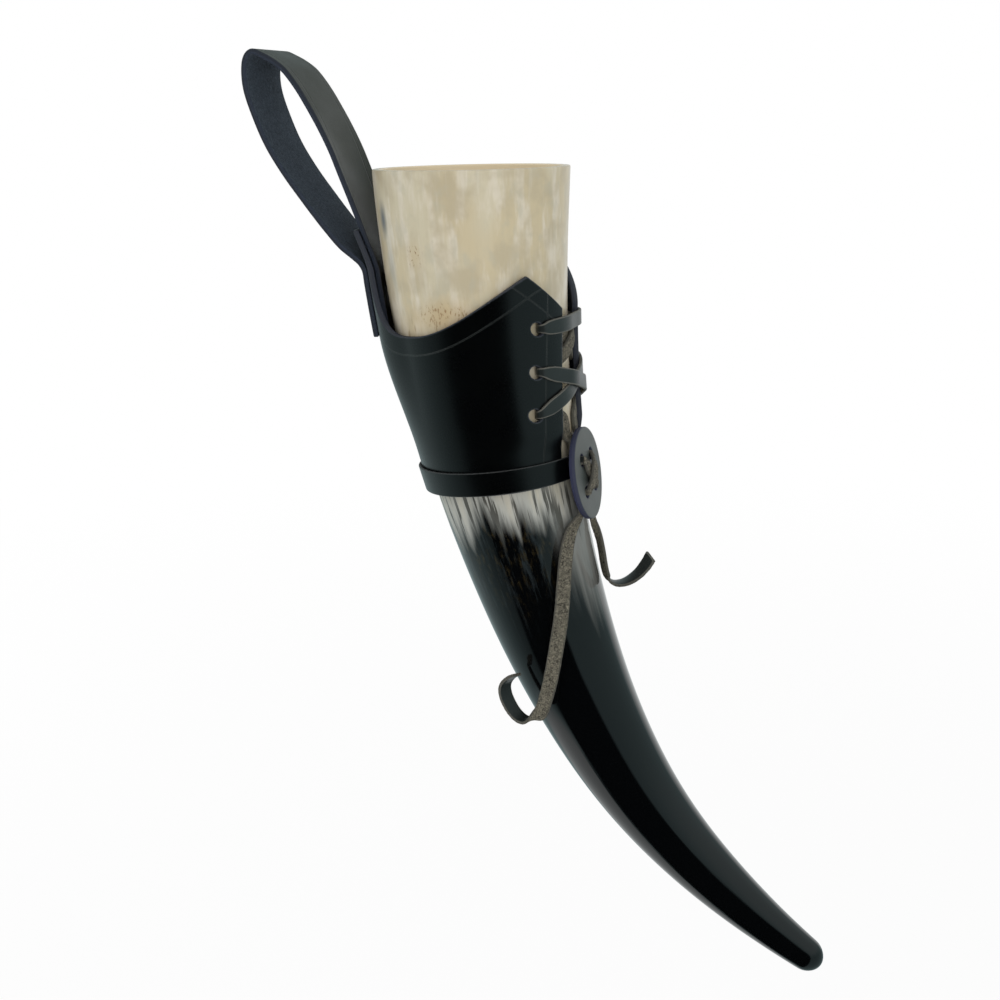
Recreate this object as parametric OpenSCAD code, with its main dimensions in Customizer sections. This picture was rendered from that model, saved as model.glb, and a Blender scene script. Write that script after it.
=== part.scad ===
// Drinking horn in a laced leather holster with a belt loop.
// The mouth's axis is vertical, the horn curves in the XZ plane towards +X, and the
// origin is the inside of the loop's crest, where a belt carries it.

/* [Horn] */
// Length of the horn along its middle line
horn_len = 376; // [340:1:410]
// Outside width of the mouth from front to back
mouth_d = 78; // [72:0.5:84]
// Width of the mouth from side to side, as a share of front to back
oval_share = 0.95; // [0.92:0.01:1]
// Thickness of the wall at the lip
wall_t = 3; // [2.4:0.1:3.6]
// Depth of the hollow along the middle line
hollow_depth = 236; // [200:1:260]
// Width of the blunt tip
tip_d = 12.5; // [11:0.5:14]
// Turn of the tip away from the mouth's axis, in degrees
tip_turn = 58; // [50:1:64]
// Width of the bevel at the lip
lip_bevel = 0.6; // [0.3:0.1:0.9]

/* [Holster] */
// Thickness of the holster's leather
leather_t = 2.4; // [2:0.1:2.8]
// Depth of the two front peaks below the lip
peak_depth = 41; // [36:0.5:46]
// Depth of the front corners beside the lacing
corner_depth = 56; // [53:0.5:58]
// Depth of the low side edges
valley_depth = 61; // [58:0.5:66]
// Depth of the foot of the holster
foot_depth = 125; // [122:0.5:130]
// How much deeper the foot lies at the front than at the sides
foot_slant = 3.5; // [2:0.5:5]
// Depth of the top of the back tongue
tongue_depth = 22; // [18:0.5:26]
// Width of the open front at the corners
gap_top_w = 21; // [19:0.5:23]
// Width of the open front at the foot
gap_foot_w = 30.5; // [28:0.5:32]
// Height of the foot band
band_h = 9.6; // [7:0.2:11]
// Thickness of the foot band
band_t = 1.3; // [1:0.1:1.6]

/* [Lacing] */
// Width of the leather lace
lace_w = 6; // [5:0.1:7]
// Thickness of the leather lace
lace_t = 1.3; // [1:0.1:1.6]
// Diameter of the punched eyelets
eyelet_d = 5.6; // [5.2:0.1:6]
// Depth of the top pair of eyelets
eyelet_depth = 62.5; // [61:0.5:66]
// Distance from one pair of eyelets to the next
eyelet_pitch = 17.5; // [16:0.5:18.5]
// Distance from the flap's edge to the eyelets
eyelet_inset = 13.3; // [12:0.1:15]

/* [Lace lock] */
// Diameter of the leather disc
disc_d = 37; // [33:0.5:40]
// Thickness of the disc
disc_t = 2.5; // [2:0.1:3]
// Distance between the disc's holes
disc_hole_pitch = 13; // [12:0.5:15]
// Diameter of the disc's holes
disc_hole_d = 5; // [4.8:0.1:5.6]
// Depth of the disc's centre
disc_depth = 128.5; // [126:0.5:132]

/* [Belt loop] */
// Width of the strap
strap_w = 30; // [26:0.5:34]
// Thickness of the strap
strap_t = 2.3; // [1.9:0.1:2.7]
// Depth of the strap's two ends
strap_end_depth = 62; // [60:0.5:64]
// Rise of the loop above the upper rivet
loop_rise = 89.2; // [80:0.1:98]
// Reach of the loop behind the upper rivet
loop_reach = 50.7; // [44:0.1:56]
// Depth of the upper rivet
rivet_depth = 41.5; // [40:0.5:43]
// Distance between the rivets
rivet_pitch = 13; // [11:0.5:15]
// Diameter of the rivet caps
rivet_cap_d = 8; // [6.5:0.1:9]
// Diameter of the rivets' tubes
rivet_tube_d = 4; // [3.4:0.1:4.6]

/* [Hidden] */

// Room between the horn and what lies on it, so that it draws out freely
clear = 0.3;
// Room between two leather pieces of the holster
seat = 0.15;
// Overrun of the cuts
over = 1;
round_fn = 48;

// Height of a rivet's cap and of its head, and the wall of its tube
rivet_cap_h = 1.1;
rivet_head_h = 1;
rivet_wall = 0.7;
rivet_play = 0.15;

// The horn's turn and its girth along its length
bend_shares = [0, 0.09, 0.23, 0.345, 0.53, 0.81, 1];
taper_share = 1.14;
tip_round = 7;
hollow_round_share = 5;
horn_sides = 40;
horn_rings = 38;
spine_steps = 150;

// A curve through evenly spaced values, which may be numbers or points
function smooth(v, t) =
    let (n = len(v) - 1, u = min(max(t, 0), 1) * n, i = min(floor(u), n - 1), f = u - i,
         b = v[i], c = v[i + 1], a = i > 0 ? v[i - 1] : 2 * b - c,
         e = i < n - 1 ? v[i + 2] : 2 * c - b)
    (2 * b + (c - a) * f + (2 * a - 5 * b + 4 * c - e) * f * f
     + (3 * b - a - 3 * c + e) * f * f * f) / 2;
// A soft step from 0 to 1
function ease(x) = let (k = min(max(x, 0), 1)) k * k * (3 - 2 * k);
function mix(a, b, t) = a + (b - a) * t;
function unit(v) = v / norm(v);
// n values from a up to, but without, b
function spread(a, b, n) = [for (i = [0 : n - 1]) mix(a, b, i / n)];
// Two rounds of corner cutting turn a path's corners into bends
function cut(p) = [p[0], for (i = [0 : len(p) - 2])
    each [mix(p[i], p[i + 1], 0.25), mix(p[i], p[i + 1], 0.75)], p[len(p) - 1]];

// The horn's middle line, from the mouth down, in the XZ plane of the mouth
function tilt(d) = tip_turn * smooth(bend_shares, d / horn_len);
spine = [for (i = 0, p = [0, 0]; i <= spine_steps;
    p = p + horn_len / spine_steps * [sin(tilt((i + 0.5) / spine_steps * horn_len)),
                                      -cos(tilt((i + 0.5) / spine_steps * horn_len))],
    i = i + 1) p];
function centre(d) =
    let (u = min(max(d / horn_len, 0), 1) * spine_steps, i = min(floor(u), spine_steps - 1))
    mix(spine[i], spine[i + 1], u - i);
function tip_cap(d) = let (u = max(0, (d - horn_len + tip_round) / tip_round)) sqrt(1 - min(u * u, 0.96));
function radius(d) = mix(mouth_d, tip_d, pow(d / horn_len, taper_share)) / 2 * tip_cap(d);
function oval(d) = mix(oval_share, 1, min(2 * d / horn_len, 1));

// A point on the horn: d deep, a degrees round from the front, off outside the skin
function skin(d, a, off) =
    let (c = centre(d), k = tilt(d), r = radius(d), x = (r + off) * cos(a))
    [c[0] + x * cos(k), (r * oval(d) + off) * sin(a), c[1] + x * sin(k)];
// The way out of the skin, which leans down with the taper, and the way round it
function out(d, a) = let (k = tilt(d), taper = (radius(d + 1) - radius(d - 1)) / 2)
    unit([cos(a) * cos(k), sin(a), cos(a) * sin(k)] - taper * [sin(k), 0, -cos(k)]);
function away(d, a) = let (k = tilt(d), s = a < 0 ? -1 : 1)
    s * [-sin(a) * cos(k), cos(a), -sin(a) * sin(k)];
// Degrees round the horn that cover a length l along its skin
function turn_of(l, d, off) = l / (radius(d) + off) * 180 / PI;

// How far the strap's inner run stands off the horn: a rivet's cap fits behind it
cap_room = rivet_cap_h + 2 * clear;
lean_share = 0.33;
lean_soft = 6;
function stand(d) = let (h = max(0, rivet_depth - rivet_cap_d / 2 - d))
    cap_room + lean_share * h * h / (h + lean_soft);

// The open front's half-width, in degrees
function edge_turn(d) =
    let (u = min(max((d - corner_depth) / (foot_depth - corner_depth), 0), 1))
    asin(mix(gap_top_w, gap_foot_w, pow(u, 1.5)) / 2 / (radius(d) * oval(d) + clear + leather_t));

// The holster's outline round the horn: corner, peak, valley and tongue
corner_turn = edge_turn(corner_depth);
peak_turn = 43.5;
valley_turn = 117;
tongue_turn = 158;
function top_edge(a) = let (f = a > 180 ? 360 - a : a)
    f < peak_turn ? mix(corner_depth, peak_depth, (f - corner_turn) / (peak_turn - corner_turn))
    : f < valley_turn ? mix(peak_depth, valley_depth,
        sin(90 * pow((f - peak_turn) / (valley_turn - peak_turn), 1.1)))
    : f < tongue_turn ? mix(valley_depth, tongue_depth,
        pow((f - valley_turn) / (tongue_turn - valley_turn), 4))
    : tongue_depth;
function foot_edge(a) = foot_depth + foot_slant * cos(a);

// The flaps lie over the lace, and the back lies over the strap's inner end
flap_room = clear + lace_t + seat;
flap_turn = 50;
flap_fade_turn = 80;
back_turn = 150;
back_fade_turn = 122;
flap_fade = 10;
back_fade = 45;
function lift(d, a) =
    let (f = a > 180 ? 360 - a : a < 0 ? -a : a,
         front = ease((flap_fade_turn - f) / (flap_fade_turn - flap_turn))
               * ease((foot_depth - band_h - d) / flap_fade),
         back = ease((f - back_fade_turn) / (back_turn - back_fade_turn))
              * ease((strap_end_depth + back_fade - d) / back_fade))
    clear + (flap_room - clear) * front + (stand(d) + strap_t + seat - clear) * back;

// Faces of a solid made of rings that follow one another, closed at both ends
function loft_faces(n, m) = [
    for (i = [0 : n - 2], j = [0 : m - 1])
        let (p = i * m + j, q = i * m + (j + 1) % m) each [[p, q, q + m], [p, q + m, p + m]],
    for (j = [1 : m - 2]) each [[0, j + 1, j], [(n - 1) * m, (n - 1) * m + j, (n - 1) * m + j + 1]]
];
module loft(rings)
    polyhedron([for (r = rings) each r], loft_faces(len(rings), len(rings[0])));
// A closed hoop of rings, the last of which meets the first
module hoop(rings) {
    n = len(rings);
    m = len(rings[0]);
    polyhedron([for (r = rings) each r], [for (i = [0 : n - 1], j = [0 : m - 1])
        let (p = i * m + j, q = i * m + (j + 1) % m, s = (i + 1) % n * m + j,
             r = (i + 1) % n * m + (j + 1) % m)
        each [[p, q, r], [p, r, s]]]);
}

// Faces of a plate between an outer and an inner grid of n by m points
function plate_faces(n, m) = let (b = n * m) [
    for (i = [0 : n - 2], j = [0 : m - 2])
        let (p = i * m + j) each [[p, p + 1, p + 1 + m], [p, p + 1 + m, p + m],
             [b + p, b + p + 1 + m, b + p + 1], [b + p, b + p + m, b + p + 1 + m]],
    for (j = [0 : m - 2]) let (q = (n - 1) * m + j)
        each [[j + 1, j, b + j], [j + 1, b + j, b + j + 1],
              [q, q + 1, b + q + 1], [q, b + q + 1, b + q]],
    for (i = [0 : n - 2]) let (p = i * m, q = p + m - 1)
        each [[p, p + m, b + p + m], [p, b + p + m, b + p],
              [q + m, q, b + q], [q + m, b + q, b + q + m]]
];
module plate(outer, inner)
    polyhedron([for (r = concat(outer, inner)) each r], plate_faces(len(outer), len(outer[0])));

// The origin lies inside the loop's crest, so every piece is placed from there
loop_root = skin(rivet_depth, 180, stand(rivet_depth) + strap_t / 2);
crest_share = 0.92;
mouth_place = [crest_share * loop_reach - loop_root[0], 0, strap_t / 2 - loop_rise - loop_root[2]];
module from_loop() translate(mouth_place) children();

// Stands a shape that points along +Z on the horn, at d deep and a degrees round
module on_skin(d, a, off) {
    n = out(d, a);
    translate(skin(d, a, off)) rotate([0, acos(n[2]), atan2(n[1], n[0])]) children();
}

// Horn
module horn() color("ivory") from_loop() {
    inside = [for (i = [0 : 23]) let (d = hollow_depth * (1 - pow(i / 24, 1.6)))
        [min(d, hollow_depth * 0.998), true]];
    hollow = [for (s = inside) let (d = s[0],
            r = -wall_t - (radius(d) - wall_t) * (1 - sqrt(1 - pow(d / hollow_depth, hollow_round_share))))
        horn_ring(d, r)];
    lip = [horn_ring(lip_bevel, -wall_t), horn_ring(0, lip_bevel - wall_t), horn_ring(0, -lip_bevel)];
    skin_rings = [for (i = [0 : horn_rings]) horn_ring(lip_bevel + (horn_len - lip_bevel - tip_round)
        * i / horn_rings, 0)];
    tip = [for (k = [0.3, 0.55, 0.75, 0.9, 0.98]) horn_ring(horn_len - tip_round * (1 - k), 0)];
    loft(concat(hollow, lip, skin_rings, tip));
}
function horn_ring(d, off) = [for (j = [0 : horn_sides - 1]) skin(d, 360 * j / horn_sides, off)];

// Holster: one piece of leather wrapped round the horn, open at the front
half_turns = concat(spread(corner_turn, peak_turn, 6), spread(peak_turn, valley_turn, 11),
    [for (k = [0 : 11]) mix(valley_turn, tongue_turn, pow(k / 12, 0.6))],
    spread(tongue_turn, 180, 4));
wrap_turns = concat(half_turns, [180],
    [for (i = [len(half_turns) - 1 : -1 : 0]) 360 - half_turns[i]]);
holster_rows = 15;
function wrap_point(a, i, extra) =
    let (d = mix(top_edge(a), foot_edge(a), i / holster_rows),
         b = 180 + (a - 180) * (180 - edge_turn(d)) / (180 - corner_turn))
    skin(d, b, lift(d, b) + extra);
module holster() color([0.08, 0.08, 0.09]) from_loop() difference() {
    plate([for (i = [0 : holster_rows]) [for (a = wrap_turns) wrap_point(a, i, leather_t)]],
          [for (i = [0 : holster_rows]) [for (a = wrap_turns) wrap_point(a, i, 0)]]);
    for (row = [0 : 2], side = [-1, 1])
        on_skin(hole_depth(row), side * hole_turn(row), 0)
            cylinder(h = flap_room + leather_t + over, d = eyelet_d, $fn = round_fn);
    rivet_holes();
}

// Foot band: a narrow strip round the holster's foot, drawn in across the open front
band_cols = 72;
function band_lift(d, a) =
    let (f = a > 180 ? 360 - a : a, g = edge_turn(d))
    clear + (lift(d, a) + leather_t + seat - clear) * ease((f - g / 3) / (g * 2 / 3));
function band_ring(a) =
    let (bottom = foot_edge(a), top = bottom - band_h, u = band_lift(top, a), v = band_lift(bottom, a))
    [skin(top, a, u + band_t), skin(top, a, u), skin(bottom, a, v), skin(bottom, a, v + band_t)];
module foot_band() color([0.06, 0.06, 0.07]) from_loop()
    hoop([for (i = [0 : band_cols - 1]) band_ring(360 * i / band_cols)]);

// Belt strap: its inner end lies between the horn and the tongue, and its outer end
// outside the tongue, and the loop between them is a teardrop
loop_shares = [[0.255, 0.445], [0.328, 0.58], [0.415, 0.703], [0.525, 0.818], [0.641, 0.908],
    [0.73, 0.95], [0.829, 0.981], [0.921, 1], [0.98, 0.972], [1, 0.91], [0.988, 0.83],
    [0.927, 0.721], [0.836, 0.6], [0.706, 0.48], [0.559, 0.367], [0.409, 0.258],
    [0.265, 0.162], [0.175, 0.1]];
inner_depths = spread(strap_end_depth, tongue_depth, 11);
outer_depths = [for (i = [0 : 6]) mix(rivet_depth - rivet_cap_d / 2, strap_end_depth, i / 6)];
loop_rows = 52;
strap_cols = 8;
strap_sides = [for (j = [0 : strap_cols]) strap_w * (0.5 - j / strap_cols)];
function outer_stand(d) = stand(d) + strap_t + leather_t + 2 * seat;
function strap_turn(d, y, off) = 180 - asin(y / (radius(d) * oval(d) + off));
function strap_line(d, off) = [for (y = strap_sides) skin(d, strap_turn(d, y, off), off)];
loop_ends = [[for (d = [inner_depths[9], inner_depths[10]]) skin(d, 180, stand(d) + strap_t / 2)],
             [for (d = [outer_depths[0], outer_depths[1]]) skin(d, 180, outer_stand(d) + strap_t / 2)]];
loop_path = concat([for (p = loop_ends[0]) [p[0], p[2]]],
    [for (s = loop_shares) [loop_root[0] - s[0] * loop_reach, loop_root[2] + s[1] * loop_rise]],
    [for (p = loop_ends[1]) [p[0], p[2]]]);
function loop_line(i, side) =
    let (n = len(loop_path) - 1, t = mix(1, n - 1, i / loop_rows) / n, step = 0.2 / loop_rows,
         p = smooth(loop_path, t), q = unit(smooth(loop_path, t + step) - smooth(loop_path, t - step)),
         curl = (ease(1 - i / loop_rows / 0.2) - ease(1 - (1 - i / loop_rows) / 0.12)) / mouth_d)
    [for (y = strap_sides) let (k = side * strap_t / 2 + curl * y * y) [p[0] + k * q[1], y, p[1] - k * q[0]]];
module belt_strap() color([0.1, 0.11, 0.12]) from_loop() difference() {
    plate(concat([for (d = inner_depths) strap_line(d, stand(d))],
                 [for (i = [1 : loop_rows - 1]) loop_line(i, 1)],
                 [for (d = outer_depths) strap_line(d, outer_stand(d) + strap_t)]),
          concat([for (d = inner_depths) strap_line(d, stand(d) + strap_t)],
                 [for (i = [1 : loop_rows - 1]) loop_line(i, -1)],
                 [for (d = outer_depths) strap_line(d, outer_stand(d))]));
    rivet_holes();
}

// Rivets through the strap's two ends and the tongue between them. Each is a domed cap
// with a tube, on the horn's side, and a headed post that is set into the tube.
stack_top = outer_stand(rivet_depth) + strap_t;
rivet_bore = rivet_tube_d - 2 * rivet_wall;
module on_rivet(i) {
    d = rivet_depth + i * rivet_pitch;
    run = skin(d - rivet_cap_d / 2, 180, 0) - skin(d + rivet_cap_d / 2, 180, 0);
    translate(skin(d, 180, 0)) rotate([0, atan2(-run[2], run[0]), 0]) children();
}
module rivet_holes() for (i = [0, 1])
    on_rivet(i) cylinder(h = stack_top + over, d = rivet_tube_d + 2 * rivet_play, $fn = round_fn);
module rivet_caps() color([0.72, 0.6, 0.33]) from_loop() for (i = [0, 1]) on_rivet(i)
    difference() {
        union() {
            translate([0, 0, clear + rivet_cap_h]) rotate_extrude($fn = round_fn) polygon(concat([[0, 0]],
                [for (k = [90 : -15 : 0]) [rivet_cap_d / 2 * sin(k), -rivet_cap_h * cos(k)]]));
            translate([0, 0, clear + rivet_cap_h / 2])
                cylinder(h = stack_top - clear - rivet_cap_h / 2, d = rivet_tube_d, $fn = round_fn);
        }
        translate([0, 0, clear + rivet_cap_h]) cylinder(h = stack_top, d = rivet_bore, $fn = round_fn);
    }
module rivet_posts() color([0.72, 0.6, 0.33]) from_loop() for (i = [0, 1]) on_rivet(i) {
    translate([0, 0, stack_top + seat]) rotate_extrude($fn = round_fn)
        polygon([[0, 0], [rivet_cap_d / 2, 0], [rivet_cap_d / 2, rivet_head_h / 2],
                 [rivet_cap_d / 3, rivet_head_h], [0, rivet_head_h]]);
    translate([0, 0, clear + rivet_cap_h + seat])
        cylinder(h = stack_top - clear - rivet_cap_h, d = rivet_bore - 2 * rivet_play, $fn = round_fn);
}

// Lace: one flat thong. A bar runs over the top eyelets, both ends dive in, cross under the
// flaps, come out, cross over them, dive in again and run down to the disc.
lace_pinch_share = 0.7;
lace_in = clear + lace_t / 2;
lace_out = flap_room + leather_t + seat + lace_t / 2;
lace_rise = lace_t + 2 * seat;
lead_depth = foot_depth + foot_slant - band_h - 1.7 * lace_w;
lead_spread = 5;
disc_shift = -3;
function hole_depth(row) = eyelet_depth + row * eyelet_pitch;
function hole_turn(row) = let (d = hole_depth(row)) edge_turn(d) + turn_of(eyelet_inset, d, flap_room);
// In an eyelet the lace is pulled to the side of the open front
lace_side_share = 0.4;
function lace_turn(row) =
    hole_turn(row) - turn_of(lace_side_share * (eyelet_d - lace_t) / 2, hole_depth(row), flap_room);
function dive(row, side) = [side * lace_turn(row), hole_depth(row), lace_out, 0, lace_w * lace_pinch_share];
function under(row, side) = [side * lace_turn(row), hole_depth(row), lace_in, 180, lace_w * lace_pinch_share];
// A strand from one row's eyelet to the next row's on the other side: shares of the way
// round and down, then its rise over the other strand, and how far it spans the gap straight
inner_shares = [[0.1, 0.04, 0, 0], [0.3, 0.17, 0, 0], [0.4, 0.32, 1, 0],
    [0.6, 0.68, 1, 0], [0.7, 0.83, 0, 0], [0.9, 0.96, 0, 0]];
outer_shares = [[0.1, 0.1, 0, 0], [0.22, 0.22, 0, 0], [0.34, 0.34, 1, 0.3], [0.5, 0.5, 1, 1],
    [0.66, 0.66, 1, 0.3], [0.78, 0.78, 0, 0], [0.9, 0.9, 0, 0]];
span_sag = 1.4;
function strand(row, side, off, rise, turn, shares) = [for (s = shares)
    [mix(side * lace_turn(row), -side * lace_turn(row + 1), s[0]),
     mix(hole_depth(row), hole_depth(row + 1), s[1]), off + rise * s[2] - span_sag * s[3], turn, lace_w]];
function lead_turn(side) = asin((disc_shift + side * lead_spread) / (radius(lead_depth) * oval(lead_depth)));
function lace_half(side, rise) = concat(
    [for (k = [0.4, 0.85]) [side * lace_turn(0) * k, hole_depth(0), lace_out, 0, lace_w]],
    [dive(0, side), under(0, side)],
    strand(0, side, lace_in, rise, 180, inner_shares),
    [under(1, -side), dive(1, -side)],
    strand(1, -side, lace_out, rise, 0, outer_shares),
    [dive(2, side), under(2, side)],
    [for (k = [[0.15, 0.05], [0.4, 0.25], [0.65, 0.5], [0.85, 0.75], [1, 1.05]])
        [mix(side * lace_turn(2), lead_turn(side), k[0]), hole_depth(2) + lace_w * k[1],
         lace_in, 180, lace_w]],
    [[lead_turn(side), lead_depth, lace_in, 180, lace_w]]);
function reversed(v) = [for (i = [len(v) - 1 : -1 : 0]) v[i]];
// A flat strip along knots, each a point, the way its grain side faces, and its width
module strip(knots) loft([for (i = [0 : len(knots) - 1])
    let (k = knots[i], p = k[0], a = knots[max(i - 1, 0)][0], b = knots[min(i + 1, len(knots) - 1)][0],
         w = unit(cross(b - a, k[1])), n = unit(cross(w, b - a)))
    [for (c = [[1, 1], [-1, 1], [-1, -1], [1, -1]]) p + w * c[0] * k[2] / 2 + n * c[1] * lace_t / 2]]);
function skin_knots(path) = [for (p = cut(cut(path)))
    [skin(p[1], p[0], p[2]), out(p[1], p[0]) * cos(p[3]) + away(p[1], p[0]) * sin(p[3]), p[4]]];
module lace() color([0.2, 0.2, 0.2]) from_loop()
    strip(skin_knots(concat(reversed(lace_half(1, lace_rise)),
        [[0, hole_depth(0), lace_out - span_sag, 0, lace_w]], lace_half(-1, 0))));

// Lace lock: a leather disc with four holes that hangs on the lace's two ends
disc_lift = clear + band_t + lace_t + 2 * seat;
disc_run = unit(skin(disc_depth + disc_d / 4, 0, 0) - skin(disc_depth - disc_d / 4, 0, 0));
disc_out = cross(disc_run, [0, 1, 0]);
disc_foot = skin(disc_depth, 0, 0) + [0, disc_shift, 0];
function on_disc(y, s, h) = disc_foot + [0, y, 0] + s * disc_run + h * disc_out;
module lock_disc() color([0.16, 0.17, 0.19]) from_loop()
    translate(on_disc(0, 0, disc_lift)) rotate([0, acos(disc_out[2]), 0]) difference() {
        rotate_extrude($fn = 2 * round_fn) polygon([[0, 0], [disc_d / 2 - seat, 0], [disc_d / 2, seat],
            [disc_d / 2, disc_t - seat], [disc_d / 2 - seat, disc_t], [0, disc_t]]);
        for (x = [-0.5, 0.5], y = [-0.5, 0.5]) translate([x * disc_hole_pitch, y * disc_hole_pitch, -over])
            cylinder(h = disc_t + 2 * over, d = disc_hole_d, $fn = round_fn);
    }
// The lace's ends come through the upper holes, cross on the disc and go back through the lower ones
hole_at = disc_hole_pitch / 2;
disc_back = disc_lift - seat - lace_t / 2;
disc_front = disc_lift + disc_t + seat + lace_t / 2;
lock_pinch_share = 0.62;
// Behind the disc, shares of the holes' place to the side and down, and of the lace's width
lock_in_shares = [[0.77, 2.2, 1], [1.2, 1.7, 0.85], [1.25, 1.3, 0.7]];
lock_out_shares = [[1.25, 1.3, 0.7], [1.3, 1.6, lock_pinch_share], [1.3, 2, lock_pinch_share]];
function through(y, s, side) =
    [for (k = [[disc_back, 0], [mix(disc_back, disc_front, 0.5), 90], [disc_front, 0]])
        [y, s, k[0], side * k[1], lace_w * lock_pinch_share]];
function lock_path(side, rise) = concat(
    [for (k = lock_in_shares) [side * hole_at * k[0], -hole_at * k[1], disc_back, 0, lace_w * k[2]]],
    through(side * hole_at, -hole_at, 1),
    [for (k = [[-0.85, 0], [-0.45, rise], [0.45, rise], [0.85, 0]]) [-side * hole_at * k[0], hole_at * k[0],
        disc_front + k[1], 0, lace_w * (abs(k[0]) > 0.5 ? lace_pinch_share : 1)]],
    reversed(through(-side * hole_at, hole_at, -1)),
    [for (k = lock_out_shares) [-side * hole_at * k[0], hole_at * k[1], disc_back, 0, lace_w * k[2]]]);
function lock_knots(side, rise) = concat(
    [for (d = [lead_depth + seat, lead_depth + lace_w / 4])
        [skin(d, lead_turn(side), lace_in), -out(d, lead_turn(side)), lace_w]],
    [for (p = cut(cut(lock_path(side, rise)))) [on_disc(p[0], p[1], p[2]),
        -disc_out * cos(p[3]) + unit(disc_run - [0, side, 0]) * sin(p[3]), p[4]]]);
module lock_lace() color([0.2, 0.2, 0.2]) from_loop() {
    strip(lock_knots(1, lace_rise));
    strip(lock_knots(-1, 0));
}

// The lace's two free ends, from behind the disc. Each knot is a point below the mouth's
// middle, the way the grain side faces there, and a share of the lace's width.
tail_left_route = [[[46.5, -11.6, -135.2], [-0.97, 0.05, -0.15], 0.62],
    [[45, -13.2, -137.6], [-0.9, 0.3, -0.2], 0.75], [[43.4, -16, -141], [-0.83, 0.52, -0.21], 0.95],
    [[42.5, -19.5, -148], [-0.73, 0.66, -0.2], 1], [[42.5, -24, -161.5], [-0.59, 0.79, -0.18], 1],
    [[42, -25.5, -173.5], [-0.46, 0.87, -0.15], 1], [[39.5, -26.5, -189.5], [-0.23, 0.97, -0.08], 1],
    [[37.5, -27, -201], [0, 1, 0], 1], [[35, -27.5, -210.5], [0.2, 0.97, 0], 1],
    [[33.5, -27.5, -215], [0.3, 0.8, 0.5], 1], [[30.5, -27, -218], [0.4, 0.3, 0.85], 1],
    [[26, -26.5, -220], [0.45, -0.2, 0.85], 1], [[21.5, -26, -217], [0.75, -0.5, 0.4], 1],
    [[18, -26, -210.5], [0.8, -0.6, 0], 1], [[17.5, -26.5, -205], [0.75, -0.5, -0.4], 1],
    [[20.5, -27, -201], [0.4, -0.3, -0.85], 1], [[23.5, -27.5, -199.5], [0.3, -0.3, -0.9], 1]];
tail_right_route = [[[46.65, 5.2, -135.6], [-0.98, 0.05, -0.15], 0.55],
    [[46.6, 4.6, -139], [-0.95, 0.3, -0.1], 0.45], [[47.6, 4.2, -142.4], [-0.2, 0.95, 0], 0.45],
    [[49, 4, -145.8], [0.6, 0.8, 0], 0.65], [[50.1, 4, -149.5], [0.8, 0.6, 0], 1],
    [[51, 4, -154], [0.8, 0.6, 0], 1], [[52, 3.5, -160], [0.8, 0.6, 0], 1],
    [[53, 3.5, -164.5], [0.75, 0.6, 0.2], 1],
    [[55, 3, -167], [0.2, 0.3, 0.9], 1], [[60, 2, -167], [0, -0.3, 0.95], 1],
    [[66, 0, -163], [-0.3, -0.5, 0.8], 1], [[70.5, -2, -157.5], [-0.5, -0.6, 0.6], 1],
    [[73, -3, -153], [-0.6, -0.6, 0.5], 1]];
function tail_knots(side, route) = cut(cut(concat(
    [[on_disc(1.3 * side * hole_at, 2 * hole_at + seat, disc_back), -disc_out, lace_w * lock_pinch_share]],
    [for (k = route) [k[0], k[1], lace_w * k[2]]])));
module lace_tail_left() color([0.3, 0.29, 0.28]) from_loop() strip(tail_knots(-1, tail_left_route));
module lace_tail_right() color([0.3, 0.29, 0.28]) from_loop() strip(tail_knots(1, tail_right_route));

horn();
holster();
foot_band();
belt_strap();
rivet_caps();
rivet_posts();
lace();
lock_disc();
lock_lace();
lace_tail_left();
lace_tail_right();
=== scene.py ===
# %% [markdown]
# # A drinking horn in a laced leather holster
# The cup is one natural horn: ivory at the mouth, black and glossy at the tip. It sits in a
# holster cut from a single piece of leather, laced up the front. A leather disc locks the lace,
# and a riveted strap at the back makes a teardrop loop for a belt. Every piece below is a surface
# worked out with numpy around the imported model, which is loaded first and never changed.

import bpy
import numpy as np
from mathutils import Matrix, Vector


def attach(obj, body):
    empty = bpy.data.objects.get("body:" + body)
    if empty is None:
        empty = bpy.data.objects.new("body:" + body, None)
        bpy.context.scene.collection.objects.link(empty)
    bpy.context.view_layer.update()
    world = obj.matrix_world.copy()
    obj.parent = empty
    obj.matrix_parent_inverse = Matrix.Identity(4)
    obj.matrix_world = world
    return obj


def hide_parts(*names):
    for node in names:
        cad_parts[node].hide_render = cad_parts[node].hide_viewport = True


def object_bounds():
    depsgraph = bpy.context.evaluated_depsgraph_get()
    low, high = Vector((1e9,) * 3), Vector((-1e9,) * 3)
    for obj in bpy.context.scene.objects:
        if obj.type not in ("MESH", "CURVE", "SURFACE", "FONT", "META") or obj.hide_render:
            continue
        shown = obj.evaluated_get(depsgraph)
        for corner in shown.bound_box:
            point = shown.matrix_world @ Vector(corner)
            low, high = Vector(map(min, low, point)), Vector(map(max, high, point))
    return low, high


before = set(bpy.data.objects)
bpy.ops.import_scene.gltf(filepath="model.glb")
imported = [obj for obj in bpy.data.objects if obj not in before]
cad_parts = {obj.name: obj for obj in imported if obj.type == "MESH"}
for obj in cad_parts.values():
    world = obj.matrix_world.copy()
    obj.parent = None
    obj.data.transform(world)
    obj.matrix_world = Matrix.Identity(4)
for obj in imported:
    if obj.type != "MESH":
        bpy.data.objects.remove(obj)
cad_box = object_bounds()
print("CAD box in metres:", [round(v, 4) for corner in cad_box for v in corner])

# %% [markdown]
# ## The camera
# It stands where the photograph was taken from: a little above the belt loop, looking down by 15
# degrees and tilted by about one. Turning the view's three directions into the columns of a matrix sets
# all of this at once, without a tracking constraint.

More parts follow.
